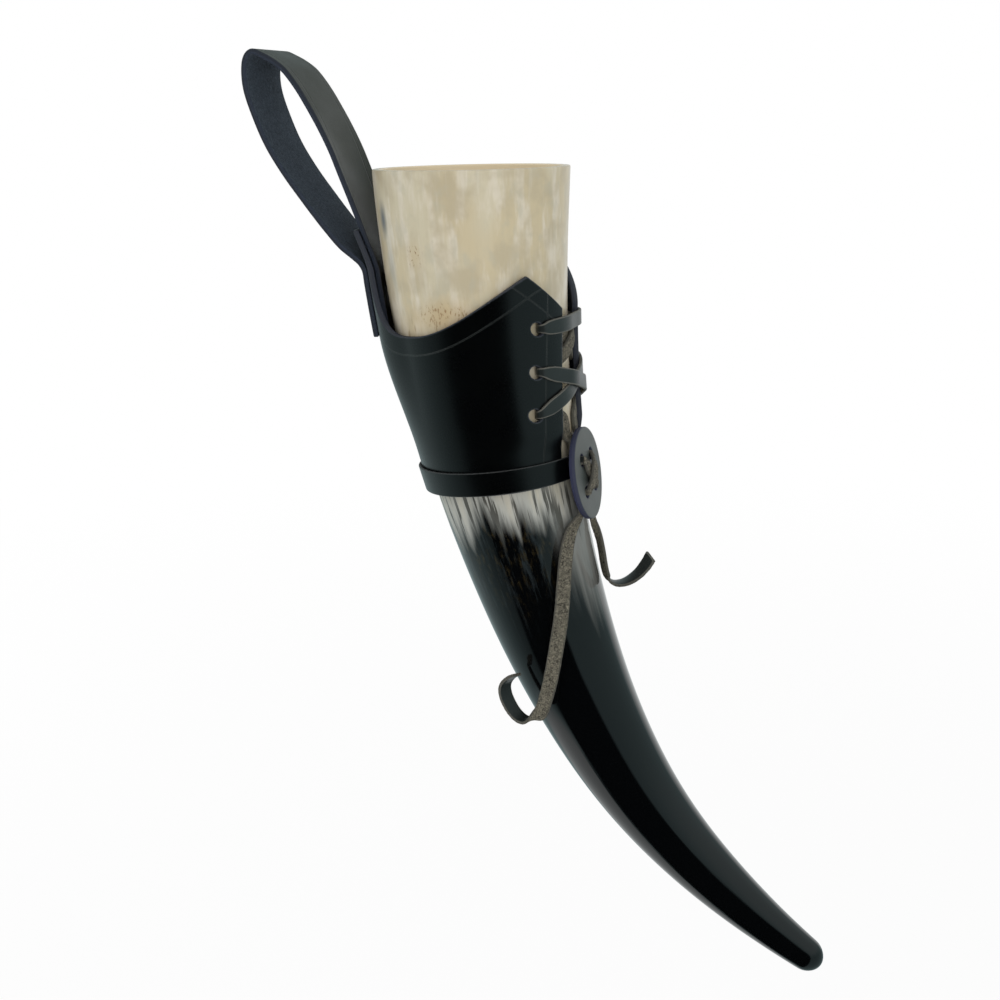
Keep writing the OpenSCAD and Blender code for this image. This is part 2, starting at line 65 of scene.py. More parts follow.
# %% Put the camera in place
CAMERA_PLACE = (0.2724, -0.530, -0.02696)
AZIMUTH, PITCH, ROLL = np.radians([18.67, 15.18, -1.35])
LENS_MM, SENSOR_MM, NEAREST = 50.4, 36, 0.01


def put(name, data, place, columns):
    """An object in the scene at a place; the three columns are its own x, y and z."""
    made = bpy.data.objects.new(name, data)
    bpy.context.scene.collection.objects.link(made)
    made.matrix_world = Matrix.Translation(place) @ Matrix(np.column_stack(columns).tolist()).to_4x4()
    return made


ahead = np.array([-np.sin(AZIMUTH) * np.cos(PITCH), np.cos(AZIMUTH) * np.cos(PITCH), -np.sin(PITCH)])
level = np.array([np.cos(AZIMUTH), np.sin(AZIMUTH), 0])
above = np.cross(level, ahead)
right = np.cos(ROLL) * level + np.sin(ROLL) * above
upright = -np.sin(ROLL) * level + np.cos(ROLL) * above
lens = bpy.data.cameras.new("photo_camera")
lens.lens, lens.sensor_width, lens.clip_start = LENS_MM, SENSOR_MM, NEAREST
bpy.context.scene.camera = put("photo_camera", lens, CAMERA_PLACE, [right, upright, -ahead])
print("camera looks along", ahead.round(3))

# %% [markdown]
# ## A few curves
# The CAD source shapes the horn with four small functions: a soft step, a straight mix, a unit
# vector and a curve through evenly spaced values. The same four work here on whole arrays. Two
# more measure the run along a line and give a ripple that is the same each time.

# %% Small curve functions
WAVES = 9


def ease(x):
    """A soft step from 0 to 1: three x squared less two x cubed."""
    k = np.clip(x, 0, 1)
    return k * k * (3 - 2 * k)


def mix(a, b, t):
    """The straight way from a to b, at share t."""
    return a + (b - a) * t


def unit(v):
    """Each vector divided by its length."""
    return v / np.linalg.norm(v, axis=-1, keepdims=True)


def run_along(line):
    """How far along a line each of its points lies: the steps' lengths, added up."""
    return np.concatenate([[0], np.cumsum(np.linalg.norm(np.diff(line, axis=0), axis=1))])


def curve_through(values, t):
    """A Catmull-Rom curve through evenly spaced values (n, k), read at shares t from 0 to 1."""
    v = np.asarray(values, float)
    v = np.concatenate([2 * v[:1] - v[1:2], v, 2 * v[-1:] - v[-2:-1]])
    u = np.clip(t, 0, 1) * (len(v) - 3)
    i = np.minimum(u.astype(int), len(v) - 4)
    f = (u - i).reshape(u.shape + (1,) * (v.ndim - 1))
    a, b, c, e = v[i], v[i + 1], v[i + 2], v[i + 3]
    square, cube = (2 * a - 5 * b + 4 * c - e) * f**2, (3 * b - a - 3 * c + e) * f**3
    return (2 * b + (c - a) * f + square + cube) / 2


def ripple(t, seed):
    """A seeded sum of sines, about -1 to 1, for what is never quite even in hide."""
    rng = np.random.default_rng(seed)
    speed, start = rng.uniform(0.5, 6, WAVES), rng.uniform(0, 2 * np.pi, WAVES)
    return np.sin(np.asarray(t)[..., None] * speed + start).sum(-1) / np.sqrt(WAVES) / 1.5


print("halfway along a soft step:", ease(0.5))

# %% [markdown]
# ## The horn's skin
# All the leather lies on the horn, so one function places everything: `skin(depth, turn, off)` is
# the point that lies so deep below the lip along the middle line, so many degrees round from the
# front, and so far outside the surface. The middle line comes from adding up small steps, each in
# the direction that the horn has turned to by then.

# %% The horn's middle line and girth
MOUTH_PLACE = np.array([0.0846008, 0, -0.0443554])
HORN_LEN, MOUTH_D, TIP_D = 0.376, 0.078, 0.0125
OVAL_SHARE, TAPER_SHARE, TIP_ROUND, TIP_TURN = 0.95, 1.14, 0.007, 58
BEND_SHARES = [0, 0.09, 0.23, 0.345, 0.53, 0.81, 1]
SIDEWAYS = np.array([0, 1, 0])


def tilt(depth):
    """Degrees by which the middle line has turned towards the front."""
    return TIP_TURN * curve_through(BEND_SHARES, np.asarray(depth) / HORN_LEN)


line_depths = np.linspace(0, HORN_LEN, 3001)
step_turn = np.radians(tilt((line_depths[1:] + line_depths[:-1]) / 2))
line_steps = np.column_stack([np.sin(step_turn), -np.cos(step_turn)]) * line_depths[1]
middle_line = np.concatenate([[[0, 0]], np.cumsum(line_steps, axis=0)])
print("the tip lies", middle_line[-1].round(4), "from the mouth's middle")


def radius(depth):
    """Half the girth: a mix from mouth to tip by depth to the power 1.14, then the tip's rounding."""
    u = np.clip((depth - HORN_LEN + TIP_ROUND) / TIP_ROUND, 0, None)
    cap = np.sqrt(1 - np.minimum(u * u, 0.96))
    return mix(MOUTH_D, TIP_D, (np.clip(depth, 0, None) / HORN_LEN) ** TAPER_SHARE) / 2 * cap


def oval(depth):
    """The side-to-side share of the girth, which grows to 1 halfway down."""
    return mix(OVAL_SHARE, 1, np.minimum(2 * depth / HORN_LEN, 1))


def skin(depth, turn, off):
    """Centre plus (radius + off) round a ring that is square to the middle line."""
    depth, turn, off = np.broadcast_arrays(depth, turn, off)
    k, a = np.radians(tilt(depth)), np.radians(turn)
    x = (radius(depth) + off) * np.cos(a)
    across = np.interp(depth, line_depths, middle_line[:, 0])
    height = np.interp(depth, line_depths, middle_line[:, 1])
    y = (radius(depth) * oval(depth) + off) * np.sin(a)
    return MOUTH_PLACE + np.stack([across + x * np.cos(k), y, height + x * np.sin(k)], -1)


def skin_out(depth, turn):
    """The way out of the skin: square to a ring's edge, leaning down with the taper."""
    k, a = np.radians(tilt(depth)), np.radians(turn)
    taper = (radius(depth + 0.001) - radius(depth - 0.001)) / 0.002
    out = np.stack([np.cos(a) * np.cos(k), np.sin(a), np.cos(a) * np.sin(k)], -1)
    down = np.stack([np.sin(k), 0 * k, -np.cos(k)], -1)
    return unit(out - taper[..., None] * down)


def skin_away(depth, turn):
    """The way round the skin, away from the front on either side."""
    k, a = np.radians(tilt(depth)), np.radians(turn)
    side = np.where(a < 0, -1, 1)[..., None]
    return side * np.stack([-np.sin(a) * np.cos(k), np.cos(a), -np.sin(a) * np.sin(k)], -1)


# %% [markdown]
# ## From arrays to a piece
# A shape is kept as points, blocks of faces and marks. A mark is a number for each point, such as
# its distance from a cut edge, which the materials read later. `make_piece` turns a shape's faces
# outwards by the sign of its volume, puts it in a mesh and lets it ride on its body. Faces that
# meet at more than 48 degrees keep a crisp edge.

# %% Shapes, joined shapes and finished pieces
CRISP_FROM = np.radians(48)


def shape(points, faces, **marks):
    """Points (n, 3), a list of face blocks, each (m, 3) or (m, 4), and marks by name."""
    faces = [np.asarray(block) for block in faces if len(block)]
    return {"points": np.asarray(points, float), "faces": faces, "marks": marks}


def joined(*shapes):
    """Several shapes as one: points and marks in a row, faces renumbered."""
    starts = np.cumsum([0] + [len(s["points"]) for s in shapes])
    return shape(np.concatenate([s["points"] for s in shapes]),
                 [f + start for s, start in zip(shapes, starts) for f in s["faces"]],
                 **{k: np.concatenate([s["marks"][k] for s in shapes]) for k in shapes[0]["marks"]})


def volume(points, faces):
    """The sum of the cones from the origin to each face, a third of base times height."""
    total = 0
    for block in faces:
        for i in range(1, block.shape[1] - 1):
            a, b, c = points[block[:, 0]], points[block[:, i]], points[block[:, i + 1]]
            total += (a * np.cross(b, c)).sum() / 6
    return total


def edges_of(faces):
    """Every face's edges, each as its start and its end."""
    return np.concatenate([np.stack([f, np.roll(f, -1, 1)], -1).reshape(-1, 2) for f in faces])


def make_piece(name, made, body, nodes):
    """Meshes a shape, marks included, puts it on the body it rides on and hides the CAD parts it stands
    for.
    """
    points, faces = made["points"], made["faces"]
    size = volume(points, faces)
    if size < 0:
        faces = [f[:, ::-1] for f in faces]
    mesh = bpy.data.meshes.new(name)
    mesh.from_pydata(points.tolist(), [], sum((f.tolist() for f in faces), []))
    for mark, values in made["marks"].items():
        values = np.asarray(values, np.float32)
        kind, field = ("FLOAT", "value") if values.ndim == 1 else ("FLOAT_VECTOR", "vector")
        mesh.attributes.new(mark, kind, "POINT").data.foreach_set(field, values.ravel())
    mesh.shade_smooth()
    mesh.set_sharp_from_angle(angle=CRISP_FROM)
    piece = bpy.data.objects.new(name, mesh)
    bpy.context.scene.collection.objects.link(piece)
    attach(piece, body)
    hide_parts(*nodes)
    pairs = edges_of(faces)
    open_edges = 2 * len(np.unique(np.sort(pairs, 1), axis=0)) - len(pairs)
    print(f"{name}: {len(mesh.polygons)} faces, {abs(size) * 1e6:.2f} cm3, {open_edges} open edges")
    return piece


def grid_index(rows, cols, closed):
    """The numbers of a grid's points; where it closes round the back, column one comes again."""
    index = np.arange(rows * cols).reshape(rows, cols)
    return np.hstack([index, index[:, :1]]) if closed else index


def quads(index):
    """The four neighbours at each place of a grid, in turn."""
    return np.stack([index[:-1, :-1], index[:-1, 1:], index[1:, 1:], index[1:, :-1]], -1)


def grid_faces(rows, cols, closed=False):
    """A grid's quads in one block."""
    return quads(grid_index(rows, cols, closed)).reshape(-1, 4)


def tube_faces(rows, cols):
    """A tube's sides, and at each end a fan to one of the two points that follow its rings."""
    ring = np.arange(cols)
    onward, last = np.roll(ring, -1), (rows - 1) * cols
    return [grid_faces(rows, cols, closed=True),
            np.stack([np.full(cols, rows * cols), onward, ring], -1),
            np.stack([np.full(cols, rows * cols + 1), ring + last, onward + last], -1)]


# %% [markdown]
# ## A leather lace
# The lace is a flat thong 6 mm wide: smooth grain on one side, fuzzy flesh on the other. A
# rounded rectangle is carried along a path. Its width lies square to the path and to the way the
# grain faces, so a twist is just a change of that direction. Cutting its corners a few times
# turns a path's few knots into soft bends, as in the CAD source. All leather shares one material
# recipe, which also asks for the distance to a pressed line: the lace has none, so it says far.

# %% The ribbon
LACE_W, LACE_T, LACE_ROUND = 0.006, 0.0013, 0.0004
FRAY, FRAY_RATE = 0.00010, 2500
PUFF, PUFF_RATE = 0.00005, 900
FAR_MM, ROUNDS = 9.0, 3
# For each point of the outline: its side, its face, and how far round its corner it reaches and rises
outline = []
for x, y, start, flat in ((1, 1, 0, (0.5, 0, -0.5)), (-1, 1, 90, ()),
                          (-1, -1, 180, (-0.5, 0, 0.5)), (1, -1, 270, ())):
    outline += [[x, y, np.cos(k), np.sin(k)] for k in np.radians(start + np.arange(5) * 22.5)]
    outline += [[k, y, 0, y] for k in flat]
rim_side, rim_face, rim_reach, rim_rise = np.array(outline, float).T


def cut_corners(path):
    """Puts two points for each corner, a quarter of the way along its sides, three times over."""
    path = np.asarray(path, float)
    for _ in range(ROUNDS):
        a, b = path[:-1], path[1:]
        inner = np.stack([mix(a, b, 0.25), mix(a, b, 0.75)], 1).reshape(-1, path.shape[1])
        path = np.concatenate([path[:1], inner, path[-1:]])
    return path


def ribbon(centre, grain, width, seed):
    """A rounded rectangle (across, up) swept along centre; its flesh edges are a little ragged."""
    along = np.gradient(centre, axis=0)
    across = unit(np.cross(along, grain))
    up = unit(np.cross(across, along))
    run, half = run_along(centre), width[:, None] / 2
    flesh = np.clip(0.5 - rim_rise * 0.5, 0, 1)
    ragged = [ripple(run * FRAY_RATE, seed + k)[:, None] for k in (0, 1)]
    fray = FRAY * np.where(rim_side > 0, *ragged) * flesh * (np.abs(rim_side) == 1)
    puff = PUFF * ripple(run * PUFF_RATE, seed + 2)[:, None] * flesh
    x = (half - LACE_ROUND) * rim_side + LACE_ROUND * rim_reach + fray * np.sign(rim_side)
    y = (LACE_T / 2 - LACE_ROUND) * rim_face + LACE_ROUND * rim_rise - puff
    rings = centre[:, None] + x[..., None] * across[:, None] + y[..., None] * up[:, None]
    rows, cols = rings.shape[:2]
    points = np.concatenate([rings.reshape(-1, 3), [rings[0].mean(0), rings[-1].mean(0)]])
    to_end = np.minimum(run, run[-1] - run)[:, None] + 0.0001
    gap = np.minimum(half * (1 - np.abs(rim_side) * 0.98), to_end)
    return shape(points, tube_faces(rows, cols), flesh=np.append(np.tile(flesh, rows), [0.5, 0.5]),
                 edge=np.append(gap.ravel(), [0, 0]) * 1000, crease=np.full((len(points), 3), FAR_MM))


print("a lace is", LACE_W * 1000, "mm wide and", LACE_T * 1000, "mm thick")

# %% [markdown]
# ## The disc's place
# The lace ends hang behind a disc that lies on the front of the horn. Everything that passes
# through the disc is placed by `on_disc`: so far to the side, so far down, so far out of its back.

# %% Places on the disc
CLEAR, SEAT = 0.0003, 0.00015
BAND_H, BAND_T = 0.0096, 0.0013
DISC_D, DISC_T, DISC_DEPTH, DISC_SHIFT = 0.037, 0.0025, 0.1285, -0.003
DISC_HOLE_D, HOLE_AT = 0.005, 0.0065

disc_run = unit(skin(DISC_DEPTH + DISC_D / 4, 0, 0) - skin(DISC_DEPTH - DISC_D / 4, 0, 0))
disc_out = np.cross(disc_run, SIDEWAYS)
disc_foot = skin(DISC_DEPTH, 0, 0) + DISC_SHIFT * SIDEWAYS
disc_lift = CLEAR + BAND_T + LACE_T + 2 * SEAT
disc_back = disc_lift - SEAT - LACE_T / 2
disc_front = disc_lift + DISC_T + SEAT + LACE_T / 2


def on_disc(side, down, high):
    """The disc's foot on the horn plus steps to the side, down along it and out of it."""
    side, down, high = np.broadcast_arrays(side, down, high)
    return (disc_foot + side[..., None] * SIDEWAYS + down[..., None] * disc_run
            + high[..., None] * disc_out)


print("the disc faces", disc_out.round(3))

# %% [markdown]
# ## The two free ends of the lace
# They are the only cords on the object, and both are seen whole: about 12 cm on the left and 6 cm
# on the right. Leather this thin keeps the curl it dried in, so each is a list of points with the
# way the grain faces there.

# %% Hang the free ends
# Each knot: a point from the mouth's middle in mm, the grain's direction, a share of the width
LEFT_END = [[46.5, -11.6, -135.2, -0.97, 0.05, -0.15, 0.62], [45, -13.2, -137.6, -0.9, 0.3, -0.2, 0.75],
            [43.4, -16, -141, -0.83, 0.52, -0.21, 0.95], [42.5, -19.5, -148, -0.73, 0.66, -0.2, 1],
            [42.5, -24, -161.5, -0.59, 0.79, -0.18, 1], [42, -25.5, -173.5, -0.46, 0.87, -0.15, 1],
            [39.5, -26.5, -189.5, -0.23, 0.97, -0.08, 1], [37.5, -27, -201, 0, 1, 0, 1],
            [35, -27.5, -210.5, 0.2, 0.97, 0, 1], [33.5, -27.5, -215, 0.3, 0.8, 0.5, 1],
            [30.5, -27, -218, 0.4, 0.3, 0.85, 1], [26, -26.5, -220, 0.45, -0.2, 0.85, 1],
            [21.5, -26, -217, 0.75, -0.5, 0.4, 1], [18, -26, -210.5, 0.8, -0.6, 0, 1],
            [17.5, -26.5, -205, 0.75, -0.5, -0.4, 1], [20.5, -27, -201, 0.4, -0.3, -0.85, 1],
            [23.5, -27.5, -199.5, 0.3, -0.3, -0.9, 1]]
RIGHT_END = [[46.65, 5.2, -135.6, -0.98, 0.05, -0.15, 0.55], [46.6, 4.6, -139, -0.95, 0.3, -0.1, 0.45],
             [47.6, 4.2, -142.4, -0.2, 0.95, 0, 0.45], [49, 4, -145.8, 0.6, 0.8, 0, 0.65],
             [50.1, 4, -149.5, 0.8, 0.6, 0, 1], [51, 4, -154, 0.8, 0.6, 0, 1],
             [52, 3.5, -160, 0.8, 0.6, 0, 1], [53, 3.5, -164.5, 0.75, 0.6, 0.2, 1],
             [55, 3, -167, 0.2, 0.3, 0.9, 1], [60, 2, -167, 0, -0.3, 0.95, 1],
             [66, 0, -163, -0.3, -0.6, 0.75, 1], [70.5, -2, -157.5, -0.4, -0.75, 0.5, 1],
             [73, -3, -153, -0.45, -0.8, 0.35, 1]]
LOCK_PINCH = 0.62


def free_end(name, side, knots, seed):
    """A ribbon from behind the disc through the knots."""
    knots = np.array(knots)
    start = on_disc(1.3 * side * HOLE_AT, 2 * HOLE_AT + SEAT, disc_back)
    first = np.concatenate([start, -disc_out, [LOCK_PINCH]])
    rest = np.column_stack([knots[:, :3] / 1000 + MOUTH_PLACE, knots[:, 3:]])
    path = cut_corners(np.vstack([first, rest]))
    centre, grain, width = path[:, :3], path[:, 3:6], path[:, 6] * LACE_W
    made = make_piece(name, ribbon(centre, grain, width, seed), "lace_lock", [name])
    return made


lace_tail_left = free_end("lace_tail_left", -1, LEFT_END, 11)
lace_tail_right = free_end("lace_tail_right", 1, RIGHT_END, 21)

# %% [markdown]
# ## The holster's outline and how far it stands off
# Four depths draw the holster's top edge: a corner beside the lacing, a peak, a low valley at the
# side and a tongue at the back. The front flaps stand off by the lace that runs under them, and
# the tongue by the strap's inner end. Each is eased in, so the leather bends and never steps.

# %% Outline and stand-off
LEATHER_T, STRAP_T, STRAP_W = 0.0024, 0.0023, 0.030
PEAK_DEPTH, CORNER_DEPTH, VALLEY_DEPTH, TONGUE_DEPTH = 0.041, 0.056, 0.061, 0.022
FOOT_DEPTH, FOOT_SLANT, STRAP_END_DEPTH, BACK_FADE = 0.125, 0.0035, 0.062, 0.045
PEAK_TURN, VALLEY_TURN, TONGUE_TURN = 43.5, 117, 158
RIVET_DEPTH, RIVET_PITCH, RIVET_CAP_D = 0.0415, 0.013, 0.008
CAP_ROOM, STAND_SLOPE, STAND_SOFT = 0.0017, 0.33, 0.006
FLAP_ROOM = CLEAR + LACE_T + SEAT
OPEN_TOP, OPEN_FOOT = 0.021, 0.0305
# In degrees from the front: where the room under the flaps ends, where that at the back starts
FLAP_END, FLAP_SOFT, BACK_START, BACK_SOFT, FOOT_SOFT = 80, 30, 122, 28, 0.010


def stand(depth):
    """How far the strap's inner run stands off: room for a cap, and more above the rivets."""
    h = np.clip(RIVET_DEPTH - RIVET_CAP_D / 2 - depth, 0, None)
    return CAP_ROOM + STAND_SLOPE * h * h / (h + STAND_SOFT)


def edge_turn(depth):
    """Half the open front in degrees: its width grows from 21 mm at the corner to 30.5 mm."""
    u = np.clip((depth - CORNER_DEPTH) / (FOOT_DEPTH - CORNER_DEPTH), 0, 1)
    half = mix(OPEN_TOP, OPEN_FOOT, u**1.5) / 2
    return np.degrees(np.arcsin(half / (radius(depth) * oval(depth) + CLEAR + LEATHER_T)))


corner_turn = edge_turn(CORNER_DEPTH)


def from_front(turn):
    """Degrees away from the front, alike on both sides."""
    return np.abs(np.where(turn > 180, 360 - turn, turn))


def top_edge(turn):
    """Depth of the holster's top edge: corner, peak, valley and tongue."""
    f = from_front(turn)
    rise = mix(CORNER_DEPTH, PEAK_DEPTH, (f - corner_turn) / (PEAK_TURN - corner_turn))
    s = np.clip((f - PEAK_TURN) / (VALLEY_TURN - PEAK_TURN), 0, 1)
    fall = mix(PEAK_DEPTH, VALLEY_DEPTH, np.sin(np.pi / 2 * s**1.1))
    t = np.clip((f - VALLEY_TURN) / (TONGUE_TURN - VALLEY_TURN), 0, 1)
    climb = mix(VALLEY_DEPTH, TONGUE_DEPTH, t**4)
    return np.where(f < PEAK_TURN, rise, np.where(f < VALLEY_TURN, fall, climb))


def foot_edge(turn):
    """Depth of the holster's foot, a little deeper at the front."""
    return FOOT_DEPTH + FOOT_SLANT * np.cos(np.radians(turn))


def lift(depth, turn):
    """Room under the leather: the lace's thickness under the flaps, the strap under the tongue."""
    f = from_front(turn)
    front = ease((FLAP_END - f) / FLAP_SOFT) * ease((FOOT_DEPTH - BAND_H - depth) / FOOT_SOFT)
    back = ease((f - BACK_START) / BACK_SOFT) * ease((STRAP_END_DEPTH + BACK_FADE - depth) / BACK_FADE)
    return CLEAR + (FLAP_ROOM - CLEAR) * front + (stand(depth) + STRAP_T + SEAT - CLEAR) * back


print(f"the front is open by {2 * corner_turn:.0f} degrees at the corners")

# %% [markdown]
# ## The laced part
# A bar lies across the top pair of eyelets. Both ends dive in, cross under the flaps, come out at
# the second pair, cross over the flaps, dive in at the third pair and run down to the disc. In
# each crossing one strand rises over the other by the lace's own thickness.

# %% Thread the lace
EYELET_D, EYELET_DEPTH, EYELET_PITCH, EYELET_INSET = 0.0056, 0.0625, 0.0175, 0.0133
LACE_IN = CLEAR + LACE_T / 2
LACE_OUT = FLAP_ROOM + LEATHER_T + SEAT + LACE_T / 2
LACE_RISE, SPAN_SAG, LACE_PINCH, LACE_SIDE = LACE_T + 2 * SEAT, 0.0014, 0.52, 0.78
LEAD_DEPTH, LEAD_SPREAD = FOOT_DEPTH + FOOT_SLANT - BAND_H - 1.7 * LACE_W, 0.005
# Share of the way round, share of the way down, rise, and how far a span is straight
INNER_WAY = [[0.1, 0.04, 0, 0], [0.3, 0.17, 0, 0], [0.4, 0.32, 1, 0],
             [0.6, 0.68, 1, 0], [0.7, 0.83, 0, 0], [0.9, 0.96, 0, 0]]
OUTER_WAY = [[0.1, 0.1, 0, 0], [0.22, 0.22, 0, 0], [0.34, 0.34, 1, 0.3], [0.5, 0.5, 1, 1],
             [0.66, 0.66, 1, 0.3], [0.78, 0.78, 0, 0], [0.9, 0.9, 0, 0]]


def hole_depth(row):
    """Depth of a pair of eyelets."""
    return EYELET_DEPTH + row * EYELET_PITCH


def hole_turn(row):
    """Degrees round to an eyelet: the flap's edge plus its inset."""
    d = hole_depth(row)
    return edge_turn(d) + np.degrees(EYELET_INSET / (radius(d) + FLAP_ROOM))


def lace_turn(row):
    """Degrees round to the lace in an eyelet, where it is pulled to the side of the open front."""
    d = hole_depth(row)
    return hole_turn(row) - np.degrees(LACE_SIDE * (EYELET_D - LACE_T) / 2 / (radius(d) + FLAP_ROOM))


def through_hole(row, side, inwards):
    """A narrow knot outside and one inside an eyelet; between them the lace turns over."""
    knots = [[side * lace_turn(row), hole_depth(row), off, turn, LACE_W * LACE_PINCH]
             for off, turn in ((LACE_OUT, 0), (LACE_IN, 180))]
    return knots if inwards else knots[::-1]


def strand(row, side, off, rise, turn, way):
    """Knots from one row's eyelet to the next row's on the other side."""
    start, end = side * lace_turn(row), -side * lace_turn(row + 1)
    return [[mix(start, end, over), mix(hole_depth(row), hole_depth(row + 1), down),
             off + rise * risen - SPAN_SAG * straight, turn, LACE_W]
            for over, down, risen, straight in way]


def lead_turn(side):
    """Degrees round to a lead, which runs down to the disc."""
    half = radius(LEAD_DEPTH) * oval(LEAD_DEPTH)
    return np.degrees(np.arcsin((DISC_SHIFT + side * LEAD_SPREAD) / half))


def lace_half(side, rise):
    """One end of the lace, from the bar's middle to its lead."""
    bar = [[side * lace_turn(0) * k, hole_depth(0), LACE_OUT, 0, LACE_W] for k in (0.4, 0.85)]
    lead = [[mix(side * lace_turn(2), lead_turn(side), over), hole_depth(2) + LACE_W * down,
             LACE_IN, 180, LACE_W]
            for over, down in ((0.15, 0.05), (0.4, 0.25), (0.65, 0.5), (0.85, 0.75), (1, 1.05))]
    return (bar + through_hole(0, side, True) + strand(0, side, LACE_IN, rise, 180, INNER_WAY)
            + through_hole(1, -side, False) + strand(1, -side, LACE_OUT, rise, 0, OUTER_WAY)
            + through_hole(2, side, True) + lead + [[lead_turn(side), LEAD_DEPTH, LACE_IN, 180, LACE_W]])


bar_middle = [[0, hole_depth(0), LACE_OUT - SPAN_SAG, 0, LACE_W]]
lace_knots = lace_half(1, LACE_RISE)[::-1] + bar_middle + lace_half(-1, 0)
turn, depth, off, flip, width = cut_corners(lace_knots).T
flip = np.radians(flip)[:, None]
lace = make_piece("lace", ribbon(skin(depth, turn, off), skin_out(depth, turn) * np.cos(flip)
                                 + skin_away(depth, turn) * np.sin(flip), width, 31),
                  "holster_body", ["lace"])

# %% [markdown]
# ## The lace through the disc
# Each lead comes up through one upper hole, crosses the other on the disc's face and goes back
# through the lower hole on the far side, so the disc grips it. The flesh side is outside here.

# %% Cross the lace on the disc
IN_SHARES = [[0.77, 2.2, 1], [1.2, 1.7, 0.85], [1.25, 1.3, 0.7]]
OUT_SHARES = [[1.25, 1.3, 0.7], [1.3, 1.6, LOCK_PINCH], [1.3, 2, LOCK_PINCH]]


def lock_strand(side, rise, seed):
    """A lead, the way up through the disc, the crossing and the way back, as one ribbon."""
    through = [[disc_back, 0], [(disc_back + disc_front) / 2, 90], [disc_front, 0]]
    path = [[side * HOLE_AT * k[0], -HOLE_AT * k[1], disc_back, 0, LACE_W * k[2]] for k in IN_SHARES]
    path += [[side * HOLE_AT, -HOLE_AT, h, side * k, LACE_W * LOCK_PINCH] for h, k in through]
    path += [[-side * HOLE_AT * k, HOLE_AT * k, disc_front + up, 0, LACE_W * share]
             for k, up, share in ((-0.85, 0, LACE_PINCH), (-0.45, rise, 1), (0.45, rise, 1),
                                  (0.85, 0, LACE_PINCH))]
    path += [[-side * HOLE_AT, HOLE_AT, h, -side * k, LACE_W * LOCK_PINCH] for h, k in through[::-1]]
    path += [[-side * HOLE_AT * k[0], HOLE_AT * k[1], disc_back, 0, LACE_W * k[2]] for k in OUT_SHARES]
    y, s, h, k, w = cut_corners(path).T
    k = np.radians(k)[:, None]
    over = unit(disc_run - side * SIDEWAYS)
    lead_depths = np.array([LEAD_DEPTH + SEAT, LEAD_DEPTH + LACE_W / 4])
    lead = skin(lead_depths, lead_turn(side), LACE_IN)
    centre = np.concatenate([lead, on_disc(y, s, h)])
    lead_grain = -skin_out(lead_depths, np.full(2, lead_turn(side)))
    grain = np.concatenate([lead_grain, -disc_out * np.cos(k) + over * np.sin(k)])
    return ribbon(centre, grain, np.append([LACE_W, LACE_W], w), seed)


lock_lace = make_piece("lock_lace", joined(lock_strand(1, LACE_RISE, 41), lock_strand(-1, 0, 51)),
                       "lace_lock", ["lock_lace"])

# %% [markdown]
# ## The horn
# One closed surface of revolution along the bent middle line: up the inside of the hollow, over
# the polished lip and down the outside to the rounded tip. The rows lie close where it curves
# tightly. A tenth of a millimetre of slow ripple keeps the gloss from looking turned on a lathe.
# Rings more than 2.5 mm inside the skin are marked, so the material knows the hollow.

# %% Shape the horn
WALL_T, HOLLOW_DEPTH, LIP = 0.003, 0.236, 0.0006
HORN_COLS, INSIDE_BELOW = 144, -0.0025
RIPPLE, RIPPLE_FADE = 0.00003, 0.03


def horn_shape():
    """Rings (depth, off): the hollow's floor closes by a fifth-power curve, the lip by two quarter
    circles, the tip by the root of one less u squared."""
    inside = HOLLOW_DEPTH * (1 - np.linspace(0.03, 1, 100)[:-1] ** 1.6)
    inside = np.append(np.clip(inside, LIP, None), LIP)
    shut = 1 - np.sqrt(np.clip(1 - (inside / HOLLOW_DEPTH) ** 5, 0, 1))
    inner = np.column_stack([inside, -WALL_T - (radius(inside) - WALL_T) * shut])[inside >= LIP]
    quarter = np.radians(np.linspace(0, 90, 6))[1:]
    lip_in = np.column_stack([LIP - LIP * np.sin(quarter), LIP - WALL_T - LIP * np.cos(quarter)])
    lip_out = np.column_stack([LIP - LIP * np.cos(quarter[:-1]), -LIP + LIP * np.sin(quarter[:-1])])
    outer = np.linspace(LIP, HORN_LEN - TIP_ROUND, 250)
    tip = HORN_LEN - TIP_ROUND * (1 - np.sin(np.radians(np.linspace(0, 78, 14)))[1:])
    rings = np.concatenate([inner[:-1], [[LIP, -WALL_T]], lip_in, [[0, -LIP]], lip_out,
                            np.column_stack([outer, 0 * outer]), np.column_stack([tip, 0 * tip])])
    depth, off = rings.T[..., None]
    turn = np.arange(HORN_COLS)[None] * 360 / HORN_COLS
    a = np.radians(turn)
    waver = (np.sin(3 * a + 60 * depth + 1) + np.sin(2 * a - 95 * depth)
             + np.sin(5 * a + 40 * depth + 2))
    fade = ease(depth / RIPPLE_FADE) * ease((HORN_LEN - depth) / RIPPLE_FADE)
    points = skin(depth, turn, off + RIPPLE * waver * fade)
    floor, before, last = points[[0, -2, -1]].mean(1)
    end = last + (last - before) * 0.3
    flow = np.stack(np.broadcast_arrays(np.cos(a), np.sin(a), depth), -1).reshape(-1, 3)
    flow = np.concatenate([flow, [[0, 0, HOLLOW_DEPTH], [0, 0, HORN_LEN]]])
    inner_side = np.broadcast_to(off < INSIDE_BELOW, points.shape[:2]).ravel()
    return shape(np.concatenate([points.reshape(-1, 3), [floor, end]]), tube_faces(*points.shape[:2]),
                 flow=flow, inside=np.append(inner_side, [1, 0]))


horn = make_piece("horn_cup", horn_shape(), "horn_body", ["horn"])

# %% [markdown]
# ## Plates of leather
# The holster, the foot band, the strap and the disc are all cut from hide. Each starts as a flat
# grid. `pierced_grid` leaves out the cells round each hole and fills the gap with rings that
# shrink to a circle. `thick_plate` then gives both faces, a cut edge and a small rounding at it.

